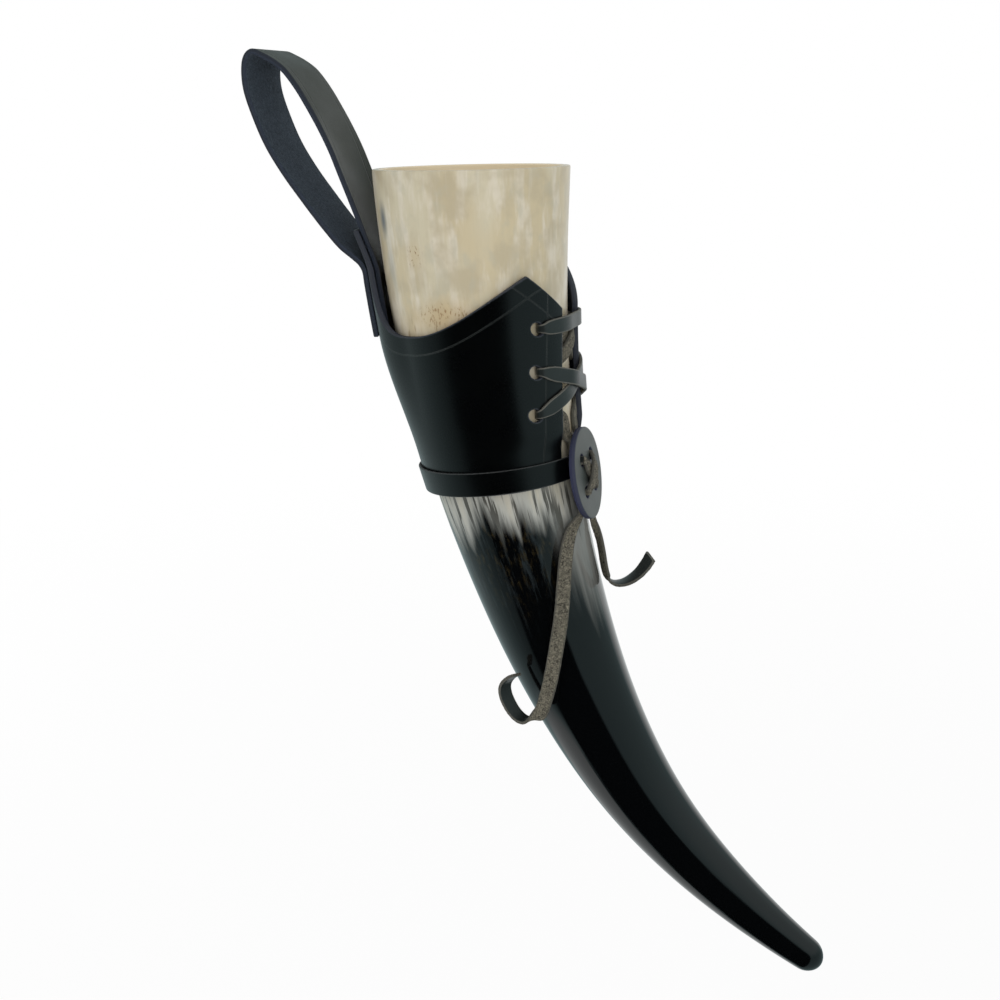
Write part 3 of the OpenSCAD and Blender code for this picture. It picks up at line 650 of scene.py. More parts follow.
# %% Pierced grids and thick plates
RING_GAPS = np.array([1.0, 0.5, 0.25, 0.1, 0.02, 0]) / 1000
EDGE_STEPS = np.array([0, 0.02, 0.1, 0.25, 0.5, 0.9]) / 1000
AT_ONCE = 24


def pierced_grid(flat, holes, hole_r, reach, closed=False):
    """Flat places (rows, cols, 2) and quads, with a round hole of hole_r at each of holes."""
    index = grid_index(*flat.shape[:2], closed)
    cells = quads(index)
    keep = np.ones(cells.shape[:2], bool)
    places, blocks, count = [flat.reshape(-1, 2)], [], flat.shape[0] * flat.shape[1]
    for hole in np.asarray(holes):
        gap = np.linalg.norm(flat - hole, axis=-1)
        row, col = np.unravel_index(np.argmin(gap), gap.shape)
        top, foot = np.flatnonzero(gap[:, col] < reach)[[0, -1]]
        west, east = np.flatnonzero(gap[row] < reach)[[0, -1]]
        keep[top:foot, west:east] = False
        loop = np.concatenate([index[top, west:east], index[top:foot, east],
                               index[foot, east:west:-1], index[foot:top:-1, west]])
        ray = places[0][loop] - hole
        length = np.linalg.norm(ray, axis=-1, keepdims=True)
        share = np.minimum(1, 0.8 * (length - hole_r) / RING_GAPS[0])
        for ring_gap in RING_GAPS:
            ring = count + np.arange(len(loop))
            places.append(hole + ray / length * (hole_r + ring_gap * share))
            blocks.append(np.stack([loop, np.roll(loop, -1), np.roll(ring, -1), ring], -1))
            loop, count = ring, count + len(ring)
    faces = np.concatenate([cells[keep]] + blocks)
    used, faces = np.unique(faces, return_inverse=True)
    return np.concatenate(places)[used], faces.reshape(-1, 4)


def rim_of(faces, count):
    """The edges, as start and end, that only one face uses."""
    pairs = edges_of(faces)
    return pairs[~np.isin(pairs @ [count, 1], pairs @ [1, count])]


def line_gap(places, starts, ends):
    """The shortest distance from each flat place to any of the straight pieces, a few at once."""
    best, parts = np.full(len(places), np.inf), len(starts) // AT_ONCE + 1
    for a, b in zip(np.array_split(starts, parts), np.array_split(ends, parts)):
        way = b - a
        t = np.clip(((places[:, None] - a) * way).sum(-1) / np.maximum((way**2).sum(-1), 1e-18), 0, 1)
        best = np.minimum(best, np.linalg.norm(places[:, None] - a - t[..., None] * way, axis=-1).min(1))
    return best


def thick_plate(middle, away, edge, faces, thickness, rounding, **marks):
    """Both faces at half the thickness each way, less a quarter circle near the cut edge."""
    soft = np.clip(edge / rounding, 0, 1)
    half = (thickness / 2 - rounding + rounding * np.sqrt(1 - (1 - soft) ** 2))[:, None]
    count = len(middle)
    rim = rim_of(faces, count)
    band = np.stack([rim[:, 1], rim[:, 0], rim[:, 0] + count, rim[:, 1] + count], -1)
    twice = {name: np.concatenate([value, value]) for name, value in marks.items()}
    return shape(np.concatenate([middle + away * half, middle - away * half]),
                 [*faces, *[f[:, ::-1] + count for f in faces], band],
                 edge=np.tile(edge, 2) * 1000, flesh=np.repeat([0.0, 1.0], count), **twice)


# %% [markdown]
# ## The holster
# Cut flat, it would be a broad strip with a peak at each front corner and a tongue in the middle.
# The grid's columns are spaced evenly along the top edge, so the steep sides of the tongue stay
# crisp, and each keeps its share of the way round as the front opens towards the foot.

# %% Wrap the holster
def girth(depth):
    """Radius at which the leather's flat width is measured."""
    return radius(depth) + 0.003


def wrap_flat(turn, share):
    """Flat place (round, down) for a column's turn at the corner and its share of the way down."""
    depth = mix(top_edge(turn), foot_edge(turn), share)
    b = (turn - 180) * (180 - edge_turn(depth)) / (180 - corner_turn)
    return np.stack([np.radians(b) * girth(depth), depth], -1)


def wrap_place(flat, off):
    """The point on the horn for a flat place, off outside the leather's inner face."""
    depth = flat[:, 1]
    turn = 180 + np.degrees(flat[:, 0] / girth(depth))
    return skin(depth, turn, lift(depth, turn) + off)


def mirrored(values):
    """Turns on both sides of the back."""
    return np.concatenate([values, 360 - np.asarray(values)[::-1]])


SIDE_HEIGHT, EYELET_CELLS = 0.085, 0.0046
scan = np.linspace(corner_turn, 180, 3000)
run = run_along(wrap_flat(scan, 0 * scan))
half_turns = np.interp(np.linspace(0, run[-1], 150)[:-1], run, scan)
near_edge = corner_turn + np.degrees(EDGE_STEPS / girth(CORNER_DEPTH))
half_turns = half_turns[half_turns > near_edge[-1] + 0.5]
half_turns = np.concatenate([near_edge, half_turns, [PEAK_TURN, TONGUE_TURN]])
wrap_turns = np.unique(np.concatenate([mirrored(half_turns), [180]]))
end_shares = EDGE_STEPS / SIDE_HEIGHT
row_shares = np.concatenate([end_shares, np.linspace(0.02, 0.98, 78), 1 - end_shares[::-1]])
wrap_grid = wrap_flat(wrap_turns[None], row_shares[:, None])
eyelets = [[np.radians(side * (180 - hole_turn(row))) * girth(hole_depth(row)), hole_depth(row)]
           for row in range(3) for side in (-1, 1)]
wrap_places, wrap_faces = pierced_grid(wrap_grid, eyelets, EYELET_D / 2, EYELET_CELLS)
wrap_rim = rim_of([wrap_faces], len(wrap_places))
wrap_edge = line_gap(wrap_places, wrap_places[wrap_rim[:, 0]], wrap_places[wrap_rim[:, 1]])
print("the flat holster has", len(wrap_places), "points and", len(eyelets), "eyelets")

# %% [markdown]
# ## Its pressed lines
# Creased lines follow the edges 7 to 9 mm in. They are kept as distances, and the leather's
# material presses them in. One follows the top edge, one the slope from peak to corner and one
# the lacing. Each is drawn on the right half and mirrored on the left, and starts a little
# outside the leather, so that it runs off the edge.

# %% Press the lines and finish the holster
def crease_gap(line, inset):
    """Signed distance in mm from a line that keeps inset from an edge, given as flat points."""
    return (line_gap(wrap_places, line[:-1], line[1:]) - inset) * 1000


LINE_REACH = 0.02


def extended(line):
    """A line with a straight piece added before its start."""
    return np.concatenate([[line[0] + unit(line[0] - line[1]) * LINE_REACH], line])


on_right = wrap_places[:, 0] < 0
rim_line = extended(wrap_flat(np.linspace(PEAK_TURN, 175, 200), np.zeros(200)))
slope_line = extended(wrap_flat(np.linspace(PEAK_TURN, corner_turn, 30), np.zeros(30)))
slope_line = extended(slope_line[::-1])
lace_line = extended(wrap_flat(np.full(60, corner_turn), np.linspace(0, 1, 60)))
flip_side = np.array([-1, 1])
creases = [np.where(on_right, crease_gap(line, inset), crease_gap(line * flip_side, inset))
           for line, inset in ((rim_line, 0.0070), (slope_line, 0.0073), (lace_line, 0.0088))]
inner_face, outer_face = wrap_place(wrap_places, 0), wrap_place(wrap_places, LEATHER_T)
holster = make_piece("holster_leather", thick_plate(
    (inner_face + outer_face) / 2, unit(outer_face - inner_face), wrap_edge, [wrap_faces],
    LEATHER_T, rounding=0.0005, crease=np.stack(creases, -1)),
    "holster_body", ["holster"])

# %% [markdown]
# ## The foot band
# A narrow strip goes right round the holster's foot and draws in across the open front until it
# lies on the horn. It is a closed hoop, so its grid wraps round and needs no ends.

# %% Close the foot band
BAND_COLS, BAND_STEP = 360, 0.0008


def band_lift(depth, turn):
    """On the horn in the middle of the gap, outside the leather from the flap's edge on."""
    g = edge_turn(depth)
    outside = ease((from_front(turn) - g / 3) / (g * 2 / 3))
    return CLEAR + (lift(depth, turn) + LEATHER_T + SEAT - CLEAR) * outside


def band_ring(depth, off):
    """One edge of the band, off outside its inner face."""
    return skin(depth, band_turns, band_lift(depth, band_turns) + off)


near_edge = EDGE_STEPS[:-1] * 0.8
band_steps = np.linspace(BAND_STEP, BAND_H - BAND_STEP, 8)
band_steps = np.concatenate([near_edge, band_steps, BAND_H - near_edge[::-1]])
band_turns = np.arange(BAND_COLS) * 360 / BAND_COLS
band_low = foot_edge(band_turns)
band_share = (band_steps / BAND_H)[:, None, None]
band_inner, band_outer = (
    mix(band_ring(band_low - BAND_H, off), band_ring(band_low, off), band_share).reshape(-1, 3)
    for off in (0, BAND_T))
band_edge = np.repeat(np.minimum(band_steps, BAND_H - band_steps), BAND_COLS)
foot_band = make_piece("foot_band_leather", thick_plate(
    (band_inner + band_outer) / 2, unit(band_outer - band_inner), band_edge,
    [grid_faces(len(band_steps), BAND_COLS, closed=True)], BAND_T, rounding=0.0004,
    crease=np.full(band_inner.shape, FAR_MM)), "holster_body", ["foot_band"])

# %% [markdown]
# ## The belt strap
# One strap, 30 mm wide: up between the horn and the tongue, round in a teardrop, and down outside
# the tongue. Rows of the strap are worked out where the CAD source has them and then joined by a
# smooth curve, so the loop has no corners. Where it leaves the horn it still curls a little.

# %% Bend the strap
LOOP_RISE, LOOP_REACH, LOOP_ROWS = 0.0892, 0.0507, 52
LOOP_SHARES = [[0.255, 0.445], [0.328, 0.58], [0.415, 0.703], [0.525, 0.818], [0.641, 0.908],
               [0.73, 0.95], [0.829, 0.981], [0.921, 1], [0.98, 0.972], [1, 0.91], [0.988, 0.83],
               [0.927, 0.721], [0.836, 0.6], [0.706, 0.48], [0.559, 0.367], [0.409, 0.258],
               [0.265, 0.162], [0.175, 0.1]]
CURL_IN, CURL_OUT, SHORT_WAY, SIDE_STEP = 0.2, 0.12, 0.004, 0.0016
side_steps = np.concatenate([EDGE_STEPS, np.linspace(SIDE_STEP, STRAP_W / 2, 11)[:-1]])
strap_y = np.concatenate([STRAP_W / 2 - side_steps, [0], side_steps[::-1] - STRAP_W / 2])


def outer_stand(depth):
    """How far the strap's outer run stands off: over the inner run and the tongue."""
    return stand(depth) + STRAP_T + LEATHER_T + 2 * SEAT


def strap_line(depth, off):
    """A row of the strap across the horn's back, at evenly kept distances from the middle."""
    turn = 180 - np.degrees(np.arcsin(strap_y / (radius(depth) * oval(depth) + off)))
    return skin(np.full(len(strap_y), depth), turn, off)


inner_depths = mix(STRAP_END_DEPTH, TONGUE_DEPTH, np.arange(11) / 11)
outer_depths = mix(RIVET_DEPTH - RIVET_CAP_D / 2, STRAP_END_DEPTH, np.arange(7) / 6)
loop_root = skin(RIVET_DEPTH, 180, stand(RIVET_DEPTH) + STRAP_T / 2)
loop_line = [skin(d, 180, stand(d) + STRAP_T / 2) for d in inner_depths[-2:]]
loop_line += [loop_root + [-x * LOOP_REACH, 0, z * LOOP_RISE] for x, z in LOOP_SHARES]
loop_line += [skin(d, 180, outer_stand(d) + STRAP_T / 2) for d in outer_depths[:2]]
loop_line = np.array(loop_line)
spans = len(loop_line) - 1
loop_share = np.arange(1, LOOP_ROWS) / LOOP_ROWS
loop_t = mix(1, spans - 1, loop_share) / spans
loop_mid = curve_through(loop_line, loop_t)
loop_on, loop_back = (curve_through(loop_line, loop_t + step) for step in (SHORT_WAY, -SHORT_WAY))
loop_out = np.cross(SIDEWAYS, unit(loop_on - loop_back))
curl = (ease(1 - loop_share / CURL_IN) - ease(1 - (1 - loop_share) / CURL_OUT)) / MOUTH_D
inner_rows = [(strap_line(d, stand(d)), strap_line(d, stand(d) + STRAP_T)) for d in inner_depths]
outer_rows = [(strap_line(d, outer_stand(d) + STRAP_T), strap_line(d, outer_stand(d)))
              for d in outer_depths]
loop_curl = loop_out[:, None] * (curl[:, None] * strap_y**2)[..., None]
loop_base = loop_mid[:, None] + SIDEWAYS * strap_y[None, :, None] + loop_curl
loop_faces = [loop_base + side * STRAP_T / 2 * loop_out[:, None] for side in (1, -1)]
print("the loop stands", LOOP_REACH * 1000, "mm out from the upper rivet")

# %% [markdown]
# ## The strap in one piece
# The inner run, the loop and the outer run are rows of points about 4 mm apart, on the grain side
# and on the flesh side. One curve through all of them gives both faces, with more rows at the two
# cut ends. Two creased lines run 4 mm inside the long edges.

# %% Join the strap's rows
ROW_PITCH, END_SHARE, STRAP_ROWS, STRAP_LINE_MM = 0.004, 0.004, 200, 4
grain_rows, flesh_rows = (np.concatenate([inner, loop, outer]) for inner, loop, outer
                          in zip(zip(*inner_rows), loop_faces, zip(*outer_rows)))
end_steps = EDGE_STEPS / ROW_PITCH / (len(grain_rows) - 1)
strap_t = np.linspace(END_SHARE, 1 - END_SHARE, STRAP_ROWS)
strap_t = np.concatenate([end_steps, strap_t, 1 - end_steps[::-1]])
strap_grain, strap_flesh = (curve_through(r, strap_t) for r in (grain_rows, flesh_rows))
strap_mid = (strap_grain + strap_flesh) / 2
strap_run = run_along(strap_mid[:, len(strap_y) // 2])
side_gap = np.broadcast_to(STRAP_W / 2 - np.abs(strap_y), strap_mid.shape[:2])
end_gap = np.minimum(strap_run, strap_run[-1] - strap_run)[:, None]
strap_crease = np.full(strap_mid.shape, FAR_MM)
strap_crease[..., 0] = side_gap * 1000 - STRAP_LINE_MM
belt_strap = make_piece("belt_strap_leather", thick_plate(
    strap_mid.reshape(-1, 3), unit(strap_grain - strap_flesh).reshape(-1, 3),
    np.minimum(side_gap, end_gap).ravel(), [grid_faces(len(strap_t), len(strap_y))],
    STRAP_T, rounding=0.0005, crease=strap_crease.reshape(-1, 3)),
    "holster_body", ["belt_strap"])
print(f"the strap is {strap_run[-1] * 1000:.0f} mm long")

# %% [markdown]
# ## The rivets
# Two brass rivets go through both ends of the strap and the tongue. A domed cap with a tube sits
# on the horn's side, and a post with a low head is set into it from outside. Each half is a
# profile turned about the rivet's axis, which stands square to the horn's back.

# %% Turn the rivets
RIVET_TUBE_R, RIVET_POST_R, RIVET_CAP_H, RIVET_HEAD_H = 0.002, 0.0012, 0.0011, 0.001
RIVET_R, RIVET_COLS = RIVET_CAP_D / 2, 64
RIM_STEP = 0.0001
stack_top = outer_stand(RIVET_DEPTH) + STRAP_T


def turned(profile, number):
    """Rings of a profile (radius, height) about one rivet's axis, closed at both ends."""
    depth = RIVET_DEPTH + number * RIVET_PITCH
    run = unit(skin(depth - RIVET_R, 180, 0) - skin(depth + RIVET_R, 180, 0))
    axis = np.cross(run, SIDEWAYS)
    around = np.radians(np.arange(RIVET_COLS) * 360 / RIVET_COLS)[:, None]
    ring = np.cos(around) * run + np.sin(around) * SIDEWAYS
    r, h = np.array(profile).T[..., None, None]
    points = skin(depth, 180, 0) + r * ring + h * axis
    ends = points[[0, -1]].mean(1)
    return shape(np.concatenate([points.reshape(-1, 3), ends]), tube_faces(*points.shape[:2]))


cap_base, head_base = CLEAR + RIVET_CAP_H, stack_top + SEAT
head_rim = head_base + 3 * RIM_STEP
cap_profile = [[RIVET_R * np.sin(k), cap_base - RIVET_CAP_H * np.cos(k)]
               for k in np.radians(np.linspace(4, 90, 12))]
cap_profile += [[RIVET_R - RIM_STEP, cap_base + RIM_STEP], [RIVET_TUBE_R, cap_base + RIM_STEP],
                [RIVET_TUBE_R, stack_top]]
head_profile = [[RIVET_POST_R, cap_base + SEAT], [RIVET_POST_R, head_base],
                [RIVET_R - RIM_STEP, head_base], [RIVET_R, head_base + 2 * RIM_STEP]]
head_profile += [[RIVET_R * np.cos(k), head_rim + (RIVET_HEAD_H - 3 * RIM_STEP) * np.sin(k)]
                 for k in np.radians(np.linspace(8, 86, 12))]
rivet_caps = make_piece("rivet_domes", joined(turned(cap_profile, 0), turned(cap_profile, 1)),
                        "holster_body", ["rivet_caps"])
rivet_posts = make_piece("rivet_heads", joined(turned(head_profile, 0), turned(head_profile, 1)),
                         "holster_body", ["rivet_posts"])

# %% [markdown]
# ## The lace lock
# A disc of thicker leather with four holes. A grid of rings round its middle has cells that can be
# pierced like the holster's. The disc has taken a slight dish from the lace that pulls through it.

# %% Punch the disc
DISC_R, DISC_COLS, DISC_CELLS, DISH = DISC_D / 2, 120, 0.0037, 0.00012
rings = np.concatenate([[0.0004], np.linspace(0.0012, DISC_R - 0.0013, 20), DISC_R - EDGE_STEPS[::-1]])
spokes = np.radians(np.arange(DISC_COLS) * 360 / DISC_COLS)
disc_flat = np.stack([rings[:, None] * np.sin(spokes), rings[:, None] * np.cos(spokes)], -1)
disc_holes = [[HOLE_AT * x, HOLE_AT * y] for x in (-1, 1) for y in (-1, 1)]
disc_places, disc_faces = pierced_grid(disc_flat, disc_holes, DISC_HOLE_D / 2, DISC_CELLS, closed=True)
middle_ring = np.argsort(np.linalg.norm(disc_places, axis=1))[:DISC_COLS]
middle_ring = middle_ring[np.argsort(np.arctan2(*disc_places[middle_ring].T))]
pole = np.stack([np.full(DISC_COLS, len(disc_places)), np.roll(middle_ring, -1), middle_ring], -1)
disc_places = np.concatenate([disc_places, [[0, 0]]])
from_middle = np.linalg.norm(disc_places, axis=1)
from_holes = np.min([np.linalg.norm(disc_places - h, axis=1) for h in disc_holes], axis=0)
disc_edge = np.minimum(DISC_R - from_middle, from_holes - DISC_HOLE_D / 2)
dish = DISH * np.cos(2 * np.arctan2(*disc_places.T) + 0.6) * (from_middle / DISC_R) ** 2
disc_mid = on_disc(disc_places[:, 0], disc_places[:, 1], disc_lift + DISC_T / 2 + dish)
lock_disc = make_piece("lock_disc_leather", thick_plate(
    disc_mid, np.broadcast_to(disc_out, disc_mid.shape), np.clip(disc_edge, 0, None),
    [disc_faces, pole], DISC_T, rounding=0.00045, crease=np.full(disc_mid.shape, FAR_MM)),
    "lace_lock", ["lock_disc"])

# %% [markdown]
# ## Building materials from nodes
# A few short helpers keep each material readable. `add` makes a node and feeds its inputs. The
# others make one kind of node each, in the tree that their input comes from: sums, a soft step, a
# mix of two colours, noise. Node groups hold what several leathers share.

# %% Node helpers
def is_socket(value):
    """Whether a value comes from another node."""
    return isinstance(value, bpy.types.NodeSocket)


def feed(socket, value):
    """Links an input to another node's output, or sets it to a plain value."""
    if is_socket(value):
        value.id_data.links.new(value, socket)
    else:
        socket.default_value = value


def add(tree, kind, inputs=None, **settings):
    """A shader node with its settings and inputs."""
    node = tree.nodes.new("ShaderNode" + kind)
    for key, value in settings.items():
        setattr(node, key, value)
    for key, value in (inputs or {}).items():
        feed(node.inputs[key], value)
    return node


def calc(operation, a, b=0.0):
    """One sum or comparison of two numbers, of which at least one comes from a node."""
    tree = (a if is_socket(a) else b).id_data
    return add(tree, "Math", {0: a, 1: b}, operation=operation).outputs[0]


def times(a, b):
    """a times b."""
    return calc("MULTIPLY", a, b)


def plus(a, b):
    """a plus b."""
    return calc("ADD", a, b)


def minus(a, b):
    """a less b."""
    return calc("SUBTRACT", a, b)


def highest(first, *others):
    """The greatest of several numbers."""
    for other in others:
        first = calc("MAXIMUM", first, other)
    return first


def ramp(value, start, end, low=0.0, high=1.0):
    """A soft step of value from start to end, between low and high."""
    inputs = {"Value": value, "From Min": start, "From Max": end, "To Min": low, "To Max": high}
    return add(value.id_data, "MapRange", inputs, interpolation_type="SMOOTHSTEP").outputs[0]


def blend_colours(share, a, b):
    """Colour a where share is 0 and colour b where it is 1."""
    node = add(share.id_data, "Mix", {0: share}, data_type="RGBA")
    for key, colour in ((6, a), (7, b)):
        feed(node.inputs[key], colour if is_socket(colour) else (*colour, 1))
    return node.outputs[2]


def noise(where, scale, detail=3.0, rough=0.5, bent=0.0):
    """Fractal noise at a place, which bends itself where asked."""
    inputs = {"Vector": where, "Scale": scale, "Detail": detail, "Roughness": rough, "Distortion": bent}
    return add(where.id_data, "TexNoise", inputs).outputs[0]


def vector_calc(operation, output, a, b=(0, 0, 0)):
    """One sum with two places or directions."""
    return add(a.id_data, "VectorMath", {0: a, 1: b}, operation=operation).outputs[output]


def mark(tree, name, output="Fac"):
    """A mark that the mesh carries."""
    return add(tree, "Attribute", attribute_name=name).outputs[output]


def empty_material(name, mesh):
    """A material without nodes, put on a mesh; returns its node tree."""
    material = bpy.data.materials.new(name)
    material.use_nodes = True
    material.node_tree.nodes.clear()
    mesh.materials.append(material)
    return material.node_tree


def new_material(name, piece):
    """A material with a Principled shader, put on a piece; returns its node tree and the shader."""
    tree = empty_material(name, piece.data)
    shader = add(tree, "BsdfPrincipled")
    add(tree, "OutputMaterial", {"Surface": shader.outputs[0]})
    return tree, shader


def new_group(name, inputs, outputs):
    """A node group with named inputs and outputs, and its two end nodes."""
    tree = bpy.data.node_groups.new(name, "ShaderNodeTree")
    for label, kind, value in inputs:
        socket = tree.interface.new_socket(label, in_out="INPUT", socket_type=kind)
        if value is not None:
            socket.default_value = value
    for label, kind in outputs:
        tree.interface.new_socket(label, in_out="OUTPUT", socket_type=kind)
    return tree, tree.nodes.new("NodeGroupInput"), tree.nodes.new("NodeGroupOutput")


FLOAT, VECTOR, COLOUR = "NodeSocketFloat", "NodeSocketVector", "NodeSocketColor"

# %% [markdown]
# ## The grain of hide
# The smooth side of hide is a net of tiny pores and folds, under a millimetre across, with a
# slower unevenness in its dye. Cells from a Voronoi texture give the net, and noise the dye.

# %% Group: grain
grain_group, start, end = new_group("hide_grain", [("Place", VECTOR, None), ("Size mm", FLOAT, 0.8)],
                                    [("Height", FLOAT), ("Tone", FLOAT)])
place = start.outputs["Place"]
scale = calc("DIVIDE", 1000.0, start.outputs["Size mm"])
net = add(grain_group, "TexVoronoi", {"Vector": place, "Scale": scale}, feature="DISTANCE_TO_EDGE")
pores = noise(place, times(scale, 2.3), 4.0, 0.6)
folds = ramp(net.outputs["Distance"], 0.0, 0.35)
dye = noise(place, 55.0, 4.0, 0.6)
feed(end.inputs["Height"], plus(times(folds, 0.6), times(pores, 0.6)))
feed(end.inputs["Tone"], plus(times(dye, 0.7), times(pores, 0.3)))
print("group", grain_group.name, "has", len(grain_group.nodes), "nodes")

# %% [markdown]
# ## The nap of the flesh side
# The flesh side is a felt of short fibres that lie in all directions and catch the light in pale
# and dark flecks. A noise that bends itself gives tangled flecks instead of round ones, and a wider
# noise lets them gather in patches.

# %% Group: nap
nap_group, start, end = new_group("flesh_nap", [("Place", VECTOR, None), ("Size mm", FLOAT, 0.5)],
                                  [("Height", FLOAT), ("Tone", FLOAT)])
place = start.outputs["Place"]
scale = calc("DIVIDE", 1000.0, start.outputs["Size mm"])
tangle = noise(place, scale, 5.0, 0.75, bent=1.6)
patches = noise(place, times(scale, 0.22), 3.0, 0.6)
feed(end.inputs["Height"], ramp(tangle, 0.3, 0.7))
feed(end.inputs["Tone"], plus(ramp(tangle, 0.38, 0.62, 0.0, 0.75), times(patches, 0.25)))
print("group", nap_group.name, "has", len(nap_group.nodes), "nodes")

# %% [markdown]
# ## Pressed lines and worn edges
# A maker presses a line along each edge with a warm iron. The mesh carries the distance to up to
# three such lines, so the groove is where the nearest is close to zero; the colour there is painted
# shade, and a band just beside it gets a painted highlight. The same idea gives the cut edge: a
# thin strip where the dye has rubbed.

# %% Groups: pressed lines and edge wear
line_group, start, end = new_group("pressed_lines", [("Lines", VECTOR, None), ("Width mm", FLOAT, 0.5)],
                                   [("Groove", FLOAT), ("Painted highlight", FLOAT)])
split = add(line_group, "SeparateXYZ", {0: start.outputs["Lines"]})
one, two, three = (calc("ABSOLUTE", line) for line in split.outputs)
near = calc("DIVIDE", calc("MINIMUM", calc("MINIMUM", one, two), three), start.outputs["Width mm"])
feed(end.inputs["Groove"], ramp(near, 1.0, 0.0))
# The second mask is a band just beside each groove, which only carries a painted highlight
feed(end.inputs["Painted highlight"], ramp(calc("ABSOLUTE", minus(near, 1.4)), 0.6, 0.0))

wear_group, start, end = new_group(
    "edge_wear", [("Gap mm", FLOAT, 1.0), ("Place", VECTOR, None), ("Reach mm", FLOAT, 0.6)],
    [("Mask", FLOAT)])
rub = noise(start.outputs["Place"], 900.0, 4.0, 0.7)
near = calc("DIVIDE", start.outputs["Gap mm"], start.outputs["Reach mm"])
feed(end.inputs["Mask"], ramp(plus(near, rub), 1.5, 0.6))
print("groups", line_group.name, "and", wear_group.name, "are ready")


# %% Use a group
def use(tree, group, output, **inputs):
    """A group's outputs in a material; the inputs' names have _ for a space."""
    inputs = {key.replace("_", " "): value for key, value in inputs.items()}
    node = add(tree, "Group", inputs, node_tree=group)
    return [node.outputs[name] for name in output]


# %% [markdown]
# ## Leather
# Every leather piece gets the same recipe with its own colours: grain on one face, nap on the
# other, a cut edge between them, and pressed lines. One shader does it all, because the mesh says
# at each point which face it is on and how far the edge is.

# %% The leather recipe
def bump(height, deep, **inputs):
    """A normal that a height of so many metres tips."""
    return add(height.id_data, "Bump", {"Height": height, "Distance": deep, **inputs}).outputs[0]


def leather(name, piece, grain, flesh, edge, painted_highlight_colour=(0.03, 0.033, 0.033), shine=0.42, grain_mm=0.8,
            nap_mm=0.6, nap_depth=0.00015, nap_range=0.6, grain_depth=0.00004, edge_reach=0.55,
            line_mm=0.36):
    """Grain, nap, edge and lines on a Principled shader. Colours are grain, flesh, edge and the lines'
    painted highlight.
    """
    tree, shader = new_material(name, piece)
    place = add(tree, "TexCoord").outputs["Object"]
    flesh_side = ramp(mark(tree, "flesh"), 0.35, 0.6)
    pores, dye = use(tree, grain_group, ("Height", "Tone"), Place=place, Size_mm=grain_mm)
    fibres, flecks = use(tree, nap_group, ("Height", "Tone"), Place=place, Size_mm=nap_mm)
    pressed = use(tree, line_group, ("Groove", "Painted highlight"), Lines=mark(tree, "crease", "Vector"),
                  Width_mm=line_mm)
    lines, painted_highlight_masks = (times(line, minus(1.0, flesh_side)) for line in pressed)
    worn, = use(tree, wear_group, ("Mask",), Gap_mm=mark(tree, "edge"), Place=place,
                Reach_mm=edge_reach)
    dark, light = [[c * k for c in grain] for k in (0.72, 1.3)]
    face = blend_colours(dye, dark, light)
    # Painted shade: in each pressed line's groove the colour darkens to a quarter of the grain's
    face = blend_colours(times(lines, 0.8), face, [c * 0.25 for c in grain])
    # Painted highlight: a paler colour on the band beside each groove
    face = blend_colours(times(painted_highlight_masks, 0.55), face, painted_highlight_colour)
    low, high = [[c * k for c in flesh] for k in (1 - nap_range, 1 + nap_range)]
    back = blend_colours(flecks, low, high)
    both = blend_colours(flesh_side, face, back)
    feed(shader.inputs["Base Color"], blend_colours(times(worn, 0.8), both, edge))
    matt = ramp(dye, 0.2, 0.8, shine - 0.05, shine + 0.08)
    feed(shader.inputs["Roughness"], highest(matt, times(flesh_side, 0.95), times(worn, 0.6)))
    grain_bump = bump(minus(pores, times(lines, 9.0)), grain_depth)
    feed(shader.inputs["Normal"], bump(times(fibres, flesh_side), nap_depth, Normal=grain_bump))
    feed(shader.inputs["IOR"], 1.5)
    print("material", name, "on", piece.name)
    return piece.data.materials[0]


# The colours given for the lines' highlight below are painted highlights beside each pressed line
leather("holster_hide", holster, grain=(0.0007, 0.0010, 0.0012), flesh=(0.014, 0.020, 0.036),
        edge=(0.042, 0.047, 0.062), painted_highlight_colour=(0.075, 0.082, 0.078), shine=0.27, grain_mm=0.5,
        grain_depth=0.00001, edge_reach=0.75, line_mm=0.17)
leather("band_hide", foot_band, grain=(0.0007, 0.0010, 0.0012), flesh=(0.010, 0.012, 0.020),
        edge=(0.060, 0.062, 0.062), shine=0.28, grain_mm=0.5, grain_depth=0.00001, edge_reach=0.4)
leather("strap_hide", belt_strap, grain=(0.013, 0.013, 0.005), flesh=(0.054, 0.073, 0.096),
        edge=(0.022, 0.028, 0.046), painted_highlight_colour=(0.065, 0.068, 0.055), shine=0.48, nap_mm=0.9)
leather("disc_hide", lock_disc, grain=(0.045, 0.052, 0.047), flesh=(0.030, 0.036, 0.060),
        edge=(0.030, 0.033, 0.075), shine=0.45, edge_reach=0.4)

# %% [markdown]
# ## Lace leather
# The lace's nap is longer and paler than the holster's, with flecks from almost white to black.
# One thong has one material, so the disc's strands and the two free ends share it.

# %% Colour the lace
lace_hide = leather("lace_hide", lace, grain=(0.014, 0.018, 0.017), flesh=(0.200, 0.184, 0.138),
                    edge=(0.13, 0.125, 0.105), shine=0.36, nap_mm=0.95, nap_depth=0.0006,
                    nap_range=1.0, edge_reach=0.22)
for ribbon_piece in (lock_lace, lace_tail_left, lace_tail_right):
    ribbon_piece.data.materials.append(lace_hide)

# %% [markdown]
# ## Polished horn
# Horn is keratin that grew in fibres from root to tip, so its patterns are drawn out along its
# length. The mesh carries `flow`: the cosine and sine of the turn and the depth in metres. A noise
# that reads this place, stretched, meets itself round the back. `grown` makes such a noise, and
# `stain` marks one spot on the skin. Both take millimetres, as at the mouth.

# %% Helpers for horn
CHANGE_DEPTH, MOUTH_R_MM = 0.141, 39


